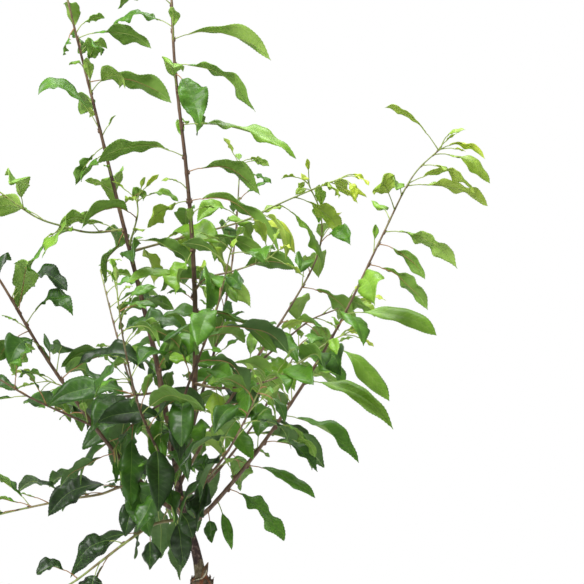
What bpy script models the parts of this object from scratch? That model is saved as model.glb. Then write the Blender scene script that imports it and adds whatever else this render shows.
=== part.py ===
"""A young grafted plum tree, a little over 1 m tall, of the blackthorn and plum kind, as named solids.

It stands on the flat cut at the foot of its rootstock, at the origin. The scion leans to -X out of the
graft, and its shoots leave it one above another. Each shoot is a bare bough by the trunk and a mass of
foliage beyond: a stem, the side twigs that branch from it, and leaves. The viewer's side is -Y.
"""

import math
import random
from collections import namedtuple

import bmesh
import bpy
from mathutils import Matrix, Quaternion, Vector
from mathutils.bvhtree import BVHTree

MM = 0.001
GAP = 0.3 * MM  # between one solid and the next
UP = Vector((0, 0, 1))

# ---- the trunk: its axis from the ground to the fork, and its radius at each height, in mm ----
TRUNK_AXIS = (
    (0, 0, 0), (-2, 1, 60), (-8, 0, 122), (-16, 0, 165), (-31, 0, 209), (-37, 0, 251), (-41, 0, 281),
)
TRUNK_RADII = (
    (0, 25), (9, 19), (30, 15.5), (75, 13.6), (112, 14.2), (122, 14), (128, 12.2),
    (133, 7.6), (146, 6.8), (165, 6), (209, 5.3), (251, 4.7), (281, 4.1),
)  # fmt: skip
TRUNK_SIDES = 14
TRUNK_STEP = 9 * MM
FLARE_RIBS = 5  # the buttresses where the roots begin
FLARE_DEPTH = 0.16  # of the radius, at the ground
FLARE_HEIGHT = 26 * MM
GRAFT_STUB = ((-6, -2, 122), (-3, -3, 136), (0, -4, 147))  # a cut snag beside the scion
GRAFT_STUB_RADII = (5.2, 1.2)

# ---- the wood and the leaves ----
BOUGH_SIDES = 9
STEM_SIDES = 4
TWIG_SIDES = 3
LIMB_STEP = 17 * MM
BOUGH_STEP = 12 * MM
TIP_RADIUS = 1.15 * MM
LEAF_SPACING = 25 * MM
LEAF_LENGTH = 84 * MM
LEAF_SLENDERNESS = 0.37  # width over length
PETIOLE = 19 * MM
PETIOLE_RADIUS = 0.55 * MM
LEAF_THICKNESS = 1 / 60  # of the length
GOLDEN_TURN = math.radians(144)  # from one leaf to the next, round the stem
CLEARANCE = 1.2 * MM  # between a leaf and anything it doesn't grow from
GROUND_CLEARANCE = 12 * MM
EYE_LEVEL = 470 * MM  # leaves below it mostly show their faces, and leaves above it their undersides
TRIES = 9
PLACED_ARCH = 6 * MM  # that every placed leaf has besides its own
VIEWPOINT = (100, -1950, 470)  # in front of the tree, at eye level
OPENINGS = (  # gaps that stay open to the viewpoint, as (x, z, radius) on the plane y = 0
    (-190, 635, 38), (-215, 765, 38), (-200, 795, 26), (-185, 690, 26), (-175, 590, 20), (-225, 530, 18),
    (-160, 525, 20), (-145, 480, 23), (-135, 435, 26), (-215, 290, 36), (-235, 170, 33), (-160, 190, 22),
    (-120, 205, 22), (-105, 135, 22), (-75, 685, 28), (0, 600, 18), (35, 600, 16), (75, 470, 25), (55, 300, 13),
    (30, 200, 16), (80, 235, 18), (150, 335, 18), (175, 325, 20), (200, 645, 34), (265, 715, 36), (0, 815, 28),
    (90, 270, 13), (50, 240, 10), (-90, 415, 11), (-115, 470, 12), (-240, 320, 24), (-170, 295, 18),
    (230, 470, 10), (105, 560, 13), (315, 600, 10), (-130, 255, 12),
)  # fmt: skip

# A shoot springs from the trunk at its first point and runs through the rest, in mm. Its bough is bare
# for `bare` mm, and the foliage begins there.
Shoot = namedtuple("Shoot", "name bare foot_radius points")
SHOOTS = (
    Shoot("left_upright", 40, 3.9, (
        (-41, 0, 281), (-52, 6, 331), (-63, 12, 388), (-84, 16, 474), (-108, 18, 570), (-134, 18, 676),
        (-170, 12, 823), (-189, 10, 915))),
    Shoot("leader", 46, 3.9, (
        (-38, 0, 257), (-26, -3, 279), (-18, -8, 323), (-14, -14, 413), (-17, -20, 520), (-25, -24, 621),
        (-38, -26, 739), (-44, -24, 864), (-54, -20, 1010))),
    Shoot("left", 58, 3.1, (
        (-31, 0, 206), (-53, -12, 219), (-86, -30, 255), (-130, -50, 313), (-186, -70, 398),
        (-234, -85, 483), (-301, -95, 587), (-345, -92, 662))),
    Shoot("left_low", 50, 2.1, (
        (-32, 0, 221), (-94, 25, 235), (-135, 45, 222), (-180, 60, 213), (-265, 85, 192), (-370, 108, 160))),
    Shoot("left_hanging", 48, 2.2, (
        (-29, 0, 198), (-62, -20, 195), (-91, -45, 179), (-122, -65, 157), (-155, -80, 134),
        (-199, -92, 114), (-236, -98, 101))),
    Shoot("right", 46, 2.9, (
        (-26, 0, 190), (-9, -4, 201), (17, -10, 228), (63, -20, 286), (116, -28, 364), (159, -32, 437),
        (206, -34, 534), (242, -32, 605), (277, -28, 641))),
    Shoot("right_inner", 52, 2.3, (
        (-35, 0, 239), (-5, 24, 291), (48, 48, 375), (93, 64, 443), (126, 76, 500), (137, 80, 535),
        (136, 80, 571), (121, 78, 606))),
    Shoot("back", 50, 2.5, (
        (-36, 0, 247), (-29, 25, 272), (-14, 80, 335), (11, 140, 434), (26, 180, 539), (32, 200, 640))),
    Shoot("back_left", 50, 2.3, (
        (-35, 0, 231), (-50, 30, 254), (-91, 95, 322), (-124, 150, 408), (-151, 185, 499))),
    Shoot("back_right", 48, 2.2, (
        (-32, 0, 213), (-11, 30, 229), (29, 90, 272), (72, 150, 331), (111, 195, 400))),
    Shoot("back_low", 46, 2.0, (
        (-29, 0, 196), (-41, 30, 206), (-59, 90, 209), (-76, 150, 212), (-101, 210, 207))),
    Shoot("front", 46, 2.3, (
        (-40, 0, 272), (-44, -26, 292), (-18, -80, 365), (15, -132, 446), (35, -165, 522))),
    Shoot("front_left", 48, 2.2, (
        (-35, 0, 238), (-49, -30, 266), (-73, -90, 335), (-85, -140, 406), (-90, -170, 462))),
    Shoot("front_right", 46, 2.2, (
        (-34, 0, 221), (-8, -30, 242), (24, -85, 283), (48, -135, 327), (68, -175, 369))),
    Shoot("front_low", 22, 1.9, (
        (-30, 0, 205), (-33, -20, 208), (-38, -44, 220), (-42, -68, 241), (-44, -84, 266))),
)  # fmt: skip

# A side twig springs from a shoot at its first point and runs through the rest, in mm.
Twig = namedtuple("Twig", "name shoot foot_radius points")
TWIGS = (
    Twig("pale_left", "left_upright", 1.5, (
        (-103, 18, 546), (-142, 2, 542), (-173, -12, 549), (-204, -24, 560), (-243, -38, 588),
        (-280, -45, 616))),
    Twig("yellow_right", "left_upright", 1.6, (
        (-95, 17, 519), (-54, 28, 531), (37, 40, 556), (80, 42, 576), (114, 42, 591), (164, 38, 611))),
    Twig("sprig", "left_upright", 1.3, ((-96, 17, 527), (-85, 5, 563), (-86, 2, 583))),
    Twig("low_back", "left_upright", 1.7, (
        (-56, 8, 350), (-102, 35, 343), (-136, 52, 341), (-166, 64, 348), (-205, 78, 360))),
    Twig("low_front", "left_upright", 1.5, (
        (-53, 7, 338), (-69, -12, 328), (-94, -32, 308), (-109, -46, 284))),
    Twig("bright_right", "leader", 1.7, (
        (-16, -11, 361), (18, -36, 357), (58, -56, 363), (87, -66, 373), (107, -70, 386), (139, -74, 410),
        (162, -75, 422))),
    Twig("short_right", "leader", 1.4, (
        (-15, -17, 473), (0, -28, 487), (28, -40, 494), (63, -52, 505), (78, -58, 513))),
    Twig("brown_left", "left", 1.5, (
        (-130, -50, 313), (-173, -80, 336), (-203, -98, 353), (-229, -112, 371), (-276, -128, 400))),
    Twig("brown_right", "right_inner", 1.5, (
        (46, 47, 372), (64, 56, 387), (99, 82, 416), (126, 98, 436), (160, 112, 450), (177, 120, 464))),
)  # fmt: skip

# The leaves that stand clear of the crown. Each springs from its shoot at a height and is given by where
# its tip lies from there (right, back, up) and how high it arches above its root, in mm.
Placed = namedtuple("Placed", "shoot height tip arch width")
PLACED_LEAVES = (
    Placed("leader", 800, (-62, -20, -8), 34, 24),
    Placed("leader", 763, (116, 4, -22), 36, 30),
    Placed("leader", 731, (94, -12, -50), 34, 34),
    Placed("leader", 728, (22, -44, -46), 16, 36),
    Placed("leader", 660, (134, -6, -32), 24, 27),
    Placed("leader", 628, (-104, -14, -6), 28, 29),
    Placed("leader", 611, (87, 10, -22), 22, 25),
    Placed("leader", 574, (-48, -20, -32), 12, 34),
    Placed("leader", 572, (86, -26, -20), 24, 30),
    Placed("leader", 524, (84, -8, -46), 22, 28),
    Placed("leader", 446, (98, -30, -46), 24, 32),
    Placed("left_upright", 781, (-66, -10, 4), 26, 25),
    Placed("left_upright", 765, (90, -6, -12), 24, 26),
    Placed("left_upright", 741, (-72, 12, -30), 20, 26),
    Placed("left_upright", 717, (100, 10, -20), 16, 27),
    Placed("left_upright", 700, (34, -46, -14), 20, 38),
    Placed("left_upright", 665, (-74, -8, 44), 30, 22),
    Placed("left_upright", 632, (-26, -34, -34), 8, 36),
    Placed("left_upright", 646, (-34, -6, -46), 10, 18),
    Placed("left_upright", 566, (34, -14, 18), 8, 22),
    Placed("leader", 515, (-18, -38, -52), 4, 38),
    Placed("leader", 480, (20, -28, -32), 8, 30),
    Placed("left_upright", 545, (-16, -24, -64), 4, 44),
    Placed("left_upright", 470, (-34, -18, -34), 12, 28),
    Placed("left", 455, (64, -8, 12), 40, 28),
    Placed("left", 431, (54, -16, 8), 34, 24),
    Placed("left", 405, (-28, -32, -22), 22, 34),
    Placed("left", 368, (94, -22, 10), 28, 22),
    Placed("left", 341, (58, -6, 6), 24, 20),
    Placed("right", 638, (-68, -8, 62), 44, 17),
    Placed("right", 632, (84, -4, -22), 4, 26),
    Placed("right", 617, (64, -26, -24), 6, 23),
    Placed("right", 591, (98, 16, -18), 20, 25),
    Placed("right", 567, (-24, -34, 38), 24, 32),
    Placed("right", 538, (94, -4, -38), 14, 24),
    Placed("right", 520, (58, -20, -34), 4, 22),
    Placed("right", 496, (68, 14, -44), 2, 25),
    Placed("right", 440, (108, -6, -20), 16, 32),
    Placed("right", 410, (60, -24, -46), 6, 26),
    Placed("right", 363, (104, -8, -56), 12, 29),
    Placed("right", 320, (90, -6, -52), 10, 28),
    Placed("right", 290, (70, 10, -42), 8, 24),
    Placed("right", 262, (84, -8, -42), 6, 26),
    Placed("right", 233, (60, -6, -62), 8, 26),
    Placed("right", 219, (28, -22, -50), 6, 16),
    Placed("right", 208, (6, -26, -34), 4, 16),
    Placed("left", 262, (12, -26, -70), 6, 42),
    Placed("left", 243, (-18, -22, -56), 6, 28),
    Placed("left", 425, (-36, -4, -32), 6, 32),
    Placed("left", 376, (10, -18, 42), 2, 26),
    Placed("left", 278, (-62, -20, -34), 8, 34),
    Placed("left_hanging", 181, (-4, -12, -46), 2, 22),
    Placed("left_hanging", 174, (-30, -4, -14), 4, 14),
    Placed("left_upright", 332, (-10, -38, -66), 6, 30),
    Placed("leader", 334, (60, -26, -52), 14, 30),
    Placed("leader", 322, (-14, -30, -38), 4, 22),
    Placed("front_low", 214, (10, -12, -66), 4, 26),
    Placed("front_low", 222, (24, -12, -36), 6, 24),
    Placed("front_low", 234, (40, -8, -24), 8, 26),
    Placed("front_low", 246, (-34, -14, -48), 8, 30),
    Placed("front_low", 258, (10, -16, -54), 8, 32),
)

Leaf = namedtuple("Leaf", "root bend tip across twist length width")
Stem = namedtuple("Stem", "name mass route start radius_at sides taken")


# ---- curves ----
class Route:
    """A smooth curve through points, walked by its length."""

    def __init__(self, points, pieces=12):
        ends = [points[0] * 2 - points[1], *points, points[-1] * 2 - points[-2]]
        self.points = [points[0]]
        for before, start, end, after in zip(ends, ends[1:], ends[2:], ends[3:]):
            for piece in range(1, pieces + 1):
                u = piece / pieces
                slope_in = (end - before) / 2
                slope_out = (after - start) / 2
                self.points.append(
                    start * (2 * u**3 - 3 * u**2 + 1)
                    + slope_in * (u**3 - 2 * u**2 + u)
                    + end * (3 * u**2 - 2 * u**3)
                    + slope_out * (u**3 - u**2)
                )
        self.walked = [0.0]
        for start, end in zip(self.points, self.points[1:]):
            self.walked.append(self.walked[-1] + (end - start).length)
        self.length = self.walked[-1]

    def at(self, distance):
        """(point, direction) at a distance along the route."""
        distance = min(max(distance, 0.0), self.length)
        index = next(i for i, far in enumerate(self.walked[1:]) if far >= distance)
        start, end = self.points[index], self.points[index + 1]
        share = (distance - self.walked[index]) / (end - start).length
        return start.lerp(end, share), (end - start).normalized()

    def distance_at_height(self, height):
        return next(far for far, point in zip(self.walked, self.points) if point.z >= height)


def in_metres(points):
    return [Vector(point) * MM for point in points]


def turned_frames(route, distances):
    """(point, direction, side) at each distance, with a side that doesn't spin round the route."""
    side = None
    last = None
    for distance in distances:
        point, direction = route.at(distance)
        if side is None:
            side = direction.orthogonal().normalized()
        else:
            side = last.rotation_difference(direction) @ side
        last = direction
        yield point, direction, side


def ring(point, direction, side, radius, sides):
    return [
        point + Quaternion(direction, math.tau * k / sides) @ side * radius
        for k in range(sides)
    ]


# ---- solids ----
def swept_mesh(rings):
    """A closed solid whose end face is extruded from ring to ring."""
    bm = bmesh.new()
    foot = bm.faces.new([bm.verts.new(corner) for corner in rings[0]])
    end = foot
    for corners in rings[1:]:
        made = bmesh.ops.extrude_face_region(bm, geom=[end])["geom"]
        if end is not foot:
            bm.faces.remove(end)
        end = next(item for item in made if isinstance(item, bmesh.types.BMFace))
        for vert, corner in zip(end.verts, corners):
            vert.co = corner
    bmesh.ops.remove_doubles(bm, verts=bm.verts, dist=0.01 * MM)
    bmesh.ops.recalc_face_normals(bm, faces=bm.faces)
    return bm


def as_object(bm, name, material, collection=None):
    mesh = bpy.data.meshes.new(name)
    bm.to_mesh(mesh)
    bm.free()
    mesh.materials.append(material)
    made = bpy.data.objects.new(name, mesh)
    (collection or bpy.context.scene.collection).objects.link(made)
    return made


def limb_rings(route, start, end, radius_at, sides, step=LIMB_STEP):
    count = max(2, round((end - start) / step))
    distances = [start + (end - start) * k / count for k in range(count + 1)]
    return [
        ring(point, direction, side, radius_at(distance), sides)
        for distance, (point, direction, side) in zip(distances, turned_frames(route, distances))
    ]


# ---- leaves ----
def leaf_frame(leaf, share):
    """(point, direction, across, rise) on the leaf's midrib, from its root at 0 to its tip at 1."""
    point = leaf.root * (1 - share) ** 2 + leaf.bend * 2 * share * (1 - share) + leaf.tip * share**2
    direction = ((leaf.bend - leaf.root) * (1 - share) + (leaf.tip - leaf.bend) * share).normalized()
    across = (leaf.across - direction * leaf.across.dot(direction)).normalized()
    across.rotate(Quaternion(direction, leaf.twist * share**2))
    return point, direction, across, across.cross(direction)


def leaf_rings(leaf, spread=0.0):
    """Three corners at each station of the leaf: its two edges and the keel of its midrib."""
    petiole_end = PETIOLE / (PETIOLE + leaf.length)
    stations = (
        (0, PETIOLE_RADIUS, PETIOLE_RADIUS),
        (petiole_end, PETIOLE_RADIUS, PETIOLE_RADIUS),
        (petiole_end + 0.3, leaf.width / 2, leaf.length * LEAF_THICKNESS),
        (petiole_end + 0.58, leaf.width * 0.4, leaf.length * LEAF_THICKNESS * 0.8),
        (1, 0, 0),
    )
    rings = []
    for share, half_width, keel in stations:
        point, _, across, rise = leaf_frame(leaf, share)
        rings.append([
            point + across * (half_width + spread) + rise * spread,
            point - across * (half_width + spread) + rise * spread,
            point - rise * (keel + spread),
        ])
    return rings


def leaf_solid(rings):
    """A leaf's stations joined, each side split along the diagonal that stands out from its midrib."""
    bm = swept_mesh(rings)
    bm.normal_update()
    for face in [face for face in bm.faces if len(face.verts) == 4]:
        a, b, c, d = face.verts
        if (a.co + c.co - b.co - d.co).dot(face.normal) > 0:
            bmesh.utils.face_split(face, a, c)
        else:
            bmesh.utils.face_split(face, b, d)
    return bm


def grown_leaf(rng, point, direction, turn, length):
    """A leaf by rule: it leaves its stem at an angle, then its blade arches over and hangs."""
    side = direction.cross(UP)
    side = side.normalized() if side.length > 0.05 else Vector((1, 0, 0))
    over = side.cross(direction).normalized()
    lying = 1 - 0.6 * Vector((direction.x, direction.y)).length
    round_stem = side * math.cos(turn) + over * math.sin(turn) * lying
    leaving = math.radians(rng.uniform(42, 66))
    first = (direction * math.cos(leaving) + round_stem.normalized() * math.sin(leaving)).normalized()
    flat = Vector((first.x, first.y, 0)).normalized()
    flat.rotate(Matrix.Rotation(math.radians(rng.uniform(-22, 22)), 3, "Z"))
    hanging = math.asin(max(-1, min(1, first.z))) - math.radians(rng.uniform(48, 96))
    hanging = max(hanging, math.radians(-80))
    second = flat * math.cos(hanging) + UP * math.sin(hanging)
    reach = (length + PETIOLE) * 0.5
    bend = point + first * reach
    way = rng.choice((-1, 1))
    roll = way * rng.uniform(2, 34)
    twist = way * rng.uniform(15, 60)
    return rolled_leaf(point, bend, bend + second * reach, roll, twist, length, length * LEAF_SLENDERNESS)


def rolled_leaf(root, bend, tip, roll, twist, length, width):
    """A leaf turned about its own length: level across at its root at a roll of 0 degrees."""
    along = (tip - root).normalized()
    across = along.cross(UP)
    across = across.normalized() if across.length > 0.05 else Vector((0, 1, 0))
    across.rotate(Quaternion(along, math.radians(roll)))
    return Leaf(root, bend, tip, across, math.radians(twist), length, width)


def placed_leaf(placed, route):
    rng = random.Random(f"{placed.shoot} {placed.height}")
    root, _ = route.at(route.distance_at_height(placed.height * MM))
    tip = root + Vector(placed.tip) * MM
    bend = root.lerp(tip, 0.56) + UP * (placed.arch * MM + PLACED_ARCH)
    length = (bend - root).length + (tip - bend).length - PETIOLE
    way = math.copysign(1, placed.tip[0])
    if rng.random() < (0.75 if root.z > EYE_LEVEL else 0.25):
        way = -way
    roll = way * rng.uniform(4, 26)
    twist = way * rng.uniform(34, 62)
    return rolled_leaf(root, bend, tip, roll, twist, length * 0.94, placed.width * MM)


def leaf_size(rng, share):
    """Leaves are largest along the middle of a shoot, and young and short at its tip."""
    size = 0.8 + 0.3 * math.sin(math.pi * min(1, share * 1.15))
    if share > 0.8:
        size *= 1 - 0.6 * (share - 0.8) / 0.2
    return LEAF_LENGTH * size * rng.uniform(0.84, 1.14)


class Crown:
    """What has grown so far, against which each new leaf is tested."""

    def __init__(self):
        self.grown = []

    def add(self, bm):
        points = [vert.co for vert in bm.verts]
        centre = sum(points, Vector()) / len(points)
        reach = max((point - centre).length for point in points)
        self.grown.append((BVHTree.FromBMesh(bm), centre, reach))

    def is_clear(self, leaf):
        rings = leaf_rings(leaf, CLEARANCE)
        if min(corner.z for corners in rings for corner in corners) < GROUND_CLEARANCE:
            return False
        root = leaf_frame(leaf, PETIOLE * 0.7 / (PETIOLE + leaf.length))[0]
        rings[0] = [root + (corner - leaf.root) for corner in rings[0]]
        bm = leaf_solid(rings)
        centre = leaf.root.lerp(leaf.tip, 0.5)
        reach = max((vert.co - centre).length for vert in bm.verts)
        tree = BVHTree.FromBMesh(bm)
        bm.free()
        return not any(
            (centre - middle).length < reach + far and tree.overlap(other)
            for other, middle, far in self.grown
        )

    def take(self, leaf):
        bm = leaf_solid(leaf_rings(leaf))
        self.add(bm)
        bm.free()


def is_in_opening(leaf):
    """Whether a corner of a leaf's blade would stand in one of the gaps in the crown."""
    eye = Vector(VIEWPOINT) * MM
    for corner in [corner for corners in leaf_rings(leaf)[2:] for corner in corners]:
        seen = eye + (corner - eye) * eye.y / (eye.y - corner.y)
        for x, z, radius in OPENINGS:
            if math.hypot(seen.x - x * MM, seen.z - z * MM) < radius * MM:
                return True
    return False


def leaves_along(crown, stem):
    """Leaves by rule along a stem, out to its tip, away from the leaves that are placed on it."""
    rng = random.Random(stem.name)
    leaves = []
    turn = rng.uniform(0, math.tau)
    distance = stem.start + LEAF_SPACING * rng.uniform(0.2, 0.6)
    while distance < stem.route.length:
        share = distance / stem.route.length
        turn += GOLDEN_TURN + rng.uniform(-0.3, 0.3)
        length = leaf_size(rng, share)
        step = LEAF_SPACING * (1 - 0.5 * share**4) * rng.uniform(0.8, 1.2)
        if all(abs(distance - other) > LEAF_SPACING * 0.5 for other in stem.taken):
            leaf_rng = random.Random(f"{stem.name} {distance:.4f}")
            point, direction = stem.route.at(distance)
            for attempt in range(TRIES):
                leaf = grown_leaf(leaf_rng, point, direction, turn + attempt * 0.5, length)
                if not is_in_opening(leaf) and crown.is_clear(leaf):
                    crown.take(leaf)
                    leaves.append(leaf)
                    break
        distance += step
    return leaves


# ---- materials ----
def plain_material(name, colour, roughness):
    material = bpy.data.materials.new(name)
    material.use_nodes = True
    shader = material.node_tree.nodes["Principled BSDF"]
    shader.inputs["Base Color"].default_value = (*colour, 1)
    shader.inputs["Roughness"].default_value = roughness
    shader.inputs["Metallic"].default_value = 0
    return material


# ---- the tree's parts ----
def radius_from(table, height):
    for (low, low_radius), (high, high_radius) in zip(table, table[1:]):
        if height <= high * MM:
            share = (height / MM - low) / (high - low)
            return (low_radius + (high_radius - low_radius) * max(0, share)) * MM
    return table[-1][1] * MM


def trunk_rings(grow=0.0):
    """Rings of the trunk, level at the ground and square to its axis above, made fatter by `grow`."""
    route = Route(in_metres(TRUNK_AXIS))
    count = round(route.length / TRUNK_STEP)
    distances = [route.length * k / count for k in range(count + 1)]
    rings = []
    for distance, (point, direction, side) in zip(distances, turned_frames(route, distances)):
        radius = radius_from(TRUNK_RADII, point.z) + grow
        flare = FLARE_DEPTH * math.exp(-point.z / FLARE_HEIGHT)
        corners = ring(point, UP if distance == 0 else direction, side, radius, TRUNK_SIDES)
        for k, corner in enumerate(corners):
            rib = 1 + flare * math.cos(FLARE_RIBS * math.tau * k / TRUNK_SIDES)
            corners[k] = point + (corner - point) * rib
            if distance == 0:
                corners[k].z = 0
        rings.append(corners)
    rings[-1] = [corner + direction * grow for corner in rings[-1]]
    return rings


def fused(first, others, name):
    """The first solid and the others as one, by a Boolean union, with sealed hollows and scraps dropped."""
    pieces = bpy.data.collections.new(name + "_pieces")
    for other in others:
        pieces.objects.link(other)
    union = first.modifiers.new("fuse", "BOOLEAN")
    union.operation = "UNION"
    union.operand_type = "COLLECTION"
    union.collection = pieces
    union.solver = "EXACT"
    mesh = bpy.data.meshes.new_from_object(first.evaluated_get(bpy.context.evaluated_depsgraph_get()))
    first.modifiers.clear()
    for other in others:
        bpy.data.objects.remove(other)
    bpy.data.collections.remove(pieces)
    keep_outer_shell(mesh)
    first.data = mesh
    first.name = name
    return first


def keep_outer_shell(mesh):
    """Leaves the largest shell of a mesh, so that sealed hollows are filled and loose scraps dropped."""
    bm = bmesh.new()
    bm.from_mesh(mesh)
    bmesh.ops.triangulate(bm, faces=bm.faces)
    shells = []
    left = set(bm.faces)
    while left:
        shell = set()
        rim = [next(iter(left))]
        while rim:
            face = rim.pop()
            if face not in shell:
                shell.add(face)
                sound = (edge for edge in face.edges if len(edge.link_faces) == 2)
                rim.extend(other for edge in sound for other in edge.link_faces)
        left -= shell
        shells.append(shell)
    largest = max(shells, key=len)
    scraps = [face for face in bm.faces if face not in largest]
    bmesh.ops.delete(bm, geom=scraps, context="FACES")
    bm.to_mesh(mesh)
    bm.free()


def make_trunk(bark, crown):
    """The stock, the scion and the cut snag between them."""
    bm = swept_mesh(trunk_rings())
    trunk = as_object(bm, "trunk", bark)
    route = Route(in_metres(GRAFT_STUB))
    thick, thin = GRAFT_STUB_RADII
    stub_rings = limb_rings(
        route, 0, route.length, lambda far: (thick + (thin - thick) * far / route.length) * MM, 6, 8 * MM
    )
    stub = as_object(swept_mesh(stub_rings), "graft_stub", bark)
    fused(trunk, [stub], "trunk")
    bm = bmesh.new()
    bm.from_mesh(trunk.data)
    crown.add(bm)
    bm.free()


def tapered(route, foot_radius):
    """The radius at each distance along a route, from its foot to its tip."""
    foot = foot_radius * MM
    return lambda distance: foot + (TIP_RADIUS - foot) * (distance / route.length) ** 0.85


def grown_stems():
    """The stem of each shoot beyond its bough, and its side twigs."""
    stems = []
    for shoot in SHOOTS:
        route = Route(in_metres(shoot.points))
        start = shoot.bare * MM + GAP
        radius_at = tapered(route, shoot.foot_radius)
        stems.append(Stem(shoot.name, shoot.name, route, start, radius_at, STEM_SIDES, []))
    for twig in TWIGS:
        route = Route(in_metres(twig.points))
        radius_at = tapered(route, twig.foot_radius)
        stems.append(Stem(twig.name, twig.shoot, route, 0, radius_at, TWIG_SIDES, []))
    return stems


def grown_leaves(crown, stems):
    """{mass: its leaves}, the placed ones first."""
    by_name = {stem.name: stem for stem in stems}
    leaves = {shoot.name: [] for shoot in SHOOTS}
    for placed in PLACED_LEAVES:
        stem = by_name[placed.shoot]
        leaf = placed_leaf(placed, stem.route)
        if crown.is_clear(leaf):
            crown.take(leaf)
            leaves[stem.mass].append(leaf)
            stem.taken.append(stem.route.distance_at_height(placed.height * MM))
    for stem in stems:
        leaves[stem.mass] += leaves_along(crown, stem)
    return leaves


def make_bough(shoot, bark, crown):
    """The bare foot of a shoot, cut to the bark of the trunk that it springs from."""
    route = Route(in_metres(shoot.points))
    rings = limb_rings(route, 0, shoot.bare * MM, tapered(route, shoot.foot_radius), BOUGH_SIDES, BOUGH_STEP)
    bough = as_object(swept_mesh(rings), "bough_" + shoot.name, bark)
    cutter = as_object(swept_mesh(trunk_rings(GAP * 1.1)), "trunk_cutter", bark)
    cut = bough.modifiers.new("fit_to_trunk", "BOOLEAN")
    cut.operation = "DIFFERENCE"
    cut.object = cutter
    cut.solver = "EXACT"
    mesh = bpy.data.meshes.new_from_object(bough.evaluated_get(bpy.context.evaluated_depsgraph_get()))
    bough.modifiers.clear()
    bpy.data.objects.remove(cutter)
    keep_outer_shell(mesh)
    bough.data = mesh
    bm = bmesh.new()
    bm.from_mesh(bough.data)
    crown.add(bm)
    bm.free()


def stem_rings(stem):
    return limb_rings(stem.route, stem.start, stem.route.length, stem.radius_at, stem.sides)


def make_mass(name, stems, leaves, bark, leaf_green):
    """The stem, twigs and leaves of one shoot as one solid."""
    stem, *twigs = [as_object(swept_mesh(stem_rings(stem)), name + "_wood", bark) for stem in stems]
    blades = [as_object(leaf_solid(leaf_rings(leaf)), name + "_leaf", leaf_green) for leaf in leaves]
    fused(stem, twigs + blades, name)


def main():
    for old in list(bpy.data.objects):
        bpy.data.objects.remove(old)
    trunk_bark = plain_material("trunk_bark", (0.09, 0.055, 0.04), 0.85)
    shoot_bark = plain_material("shoot_bark", (0.16, 0.11, 0.07), 0.6)
    leaf_green = plain_material("leaf_green", (0.1, 0.24, 0.05), 0.55)

    crown = Crown()
    make_trunk(trunk_bark, crown)
    for shoot in SHOOTS:
        make_bough(shoot, shoot_bark, crown)
    stems = grown_stems()
    for stem in stems:
        bm = swept_mesh(stem_rings(stem))
        crown.add(bm)
        bm.free()
    for mass, leaves in grown_leaves(crown, stems).items():
        own_stems = [stem for stem in stems if stem.mass == mass]
        make_mass("foliage_" + mass, own_stems, leaves, shoot_bark, leaf_green)


main()
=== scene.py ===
"""The looks of a young grafted plum tree of the blackthorn and plum kind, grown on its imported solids.

The leaves grow by the rule that the solids' leaves grow by, so nearly all lie where a solid's leaf lies,
and each gets its own folded, wavy, toothed blade. Small young leaves come with them, in the axils and at
the tips. The wood of each shoot is one limb, from inside the trunk's bark out to its tip, with its side
twigs, leaf cushions and buds. The trunk has its bark, and the graft where the scion was set on the stock.
"""

import math
import random
from collections import namedtuple

import bmesh
import bpy
from mathutils import Matrix, Quaternion, Vector, noise
from mathutils.bvhtree import BVHTree


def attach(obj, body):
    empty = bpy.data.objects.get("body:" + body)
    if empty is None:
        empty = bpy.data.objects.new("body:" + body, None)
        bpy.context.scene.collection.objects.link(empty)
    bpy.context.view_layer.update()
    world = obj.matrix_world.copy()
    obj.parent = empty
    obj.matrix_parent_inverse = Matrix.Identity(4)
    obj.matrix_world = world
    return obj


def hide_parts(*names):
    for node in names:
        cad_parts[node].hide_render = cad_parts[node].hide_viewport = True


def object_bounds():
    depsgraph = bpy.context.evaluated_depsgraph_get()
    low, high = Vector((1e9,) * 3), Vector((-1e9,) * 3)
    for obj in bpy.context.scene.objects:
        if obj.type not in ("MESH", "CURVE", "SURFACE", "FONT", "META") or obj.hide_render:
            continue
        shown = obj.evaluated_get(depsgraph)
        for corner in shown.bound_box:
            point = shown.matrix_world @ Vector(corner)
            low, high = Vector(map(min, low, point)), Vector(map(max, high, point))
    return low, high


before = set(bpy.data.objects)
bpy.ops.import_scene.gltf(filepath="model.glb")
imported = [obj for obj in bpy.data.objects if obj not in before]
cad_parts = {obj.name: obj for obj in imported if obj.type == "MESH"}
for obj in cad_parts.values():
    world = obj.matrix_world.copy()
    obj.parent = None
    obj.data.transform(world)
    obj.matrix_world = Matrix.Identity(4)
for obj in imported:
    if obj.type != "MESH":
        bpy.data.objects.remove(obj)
CAD_BOX = [list(corner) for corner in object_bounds()]

MM = 0.001
GAP = 0.3 * MM  # between one solid and the next
UP = Vector((0, 0, 1))

# ---- the growth, by the solids' own values, with more openings and placed leaves, in mm ----
TRUNK_AXIS = (
    (0, 0, 0), (-2, 1, 60), (-8, 0, 122), (-16, 0, 165), (-31, 0, 209), (-37, 0, 251), (-41, 0, 281),
)
STEM_SIDES = 4
TWIG_SIDES = 3
LIMB_STEP = 17 * MM
TIP_RADIUS = 1.15 * MM
TAPER = 0.85  # the power of the distance along a stem by which it thins
LEAF_SPACING = 25 * MM
LEAF_SPACING_SPREAD = (0.8, 1.2)
LEAF_LENGTH = 84 * MM
LEAF_SLENDERNESS = 0.37  # width over length
PETIOLE = 19 * MM
PETIOLE_RADIUS = 0.55 * MM
LEAF_THICKNESS = 1 / 60  # of the length
LEAVING = (42, 66)  # degrees from the stem, at which a leaf's first half leaves it
FLATNESS = 0.6  # of the leaves of a lying stem, which keep to its sides
SWING = 22  # degrees to either side, for its second half
HANG = (48, 96)  # degrees by which that half turns down
STEEPEST = -80  # degrees from level
ROLL, TWIST = (2, 34), (15, 60)  # degrees: how a leaf lies, and how it turns on to its tip
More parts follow.
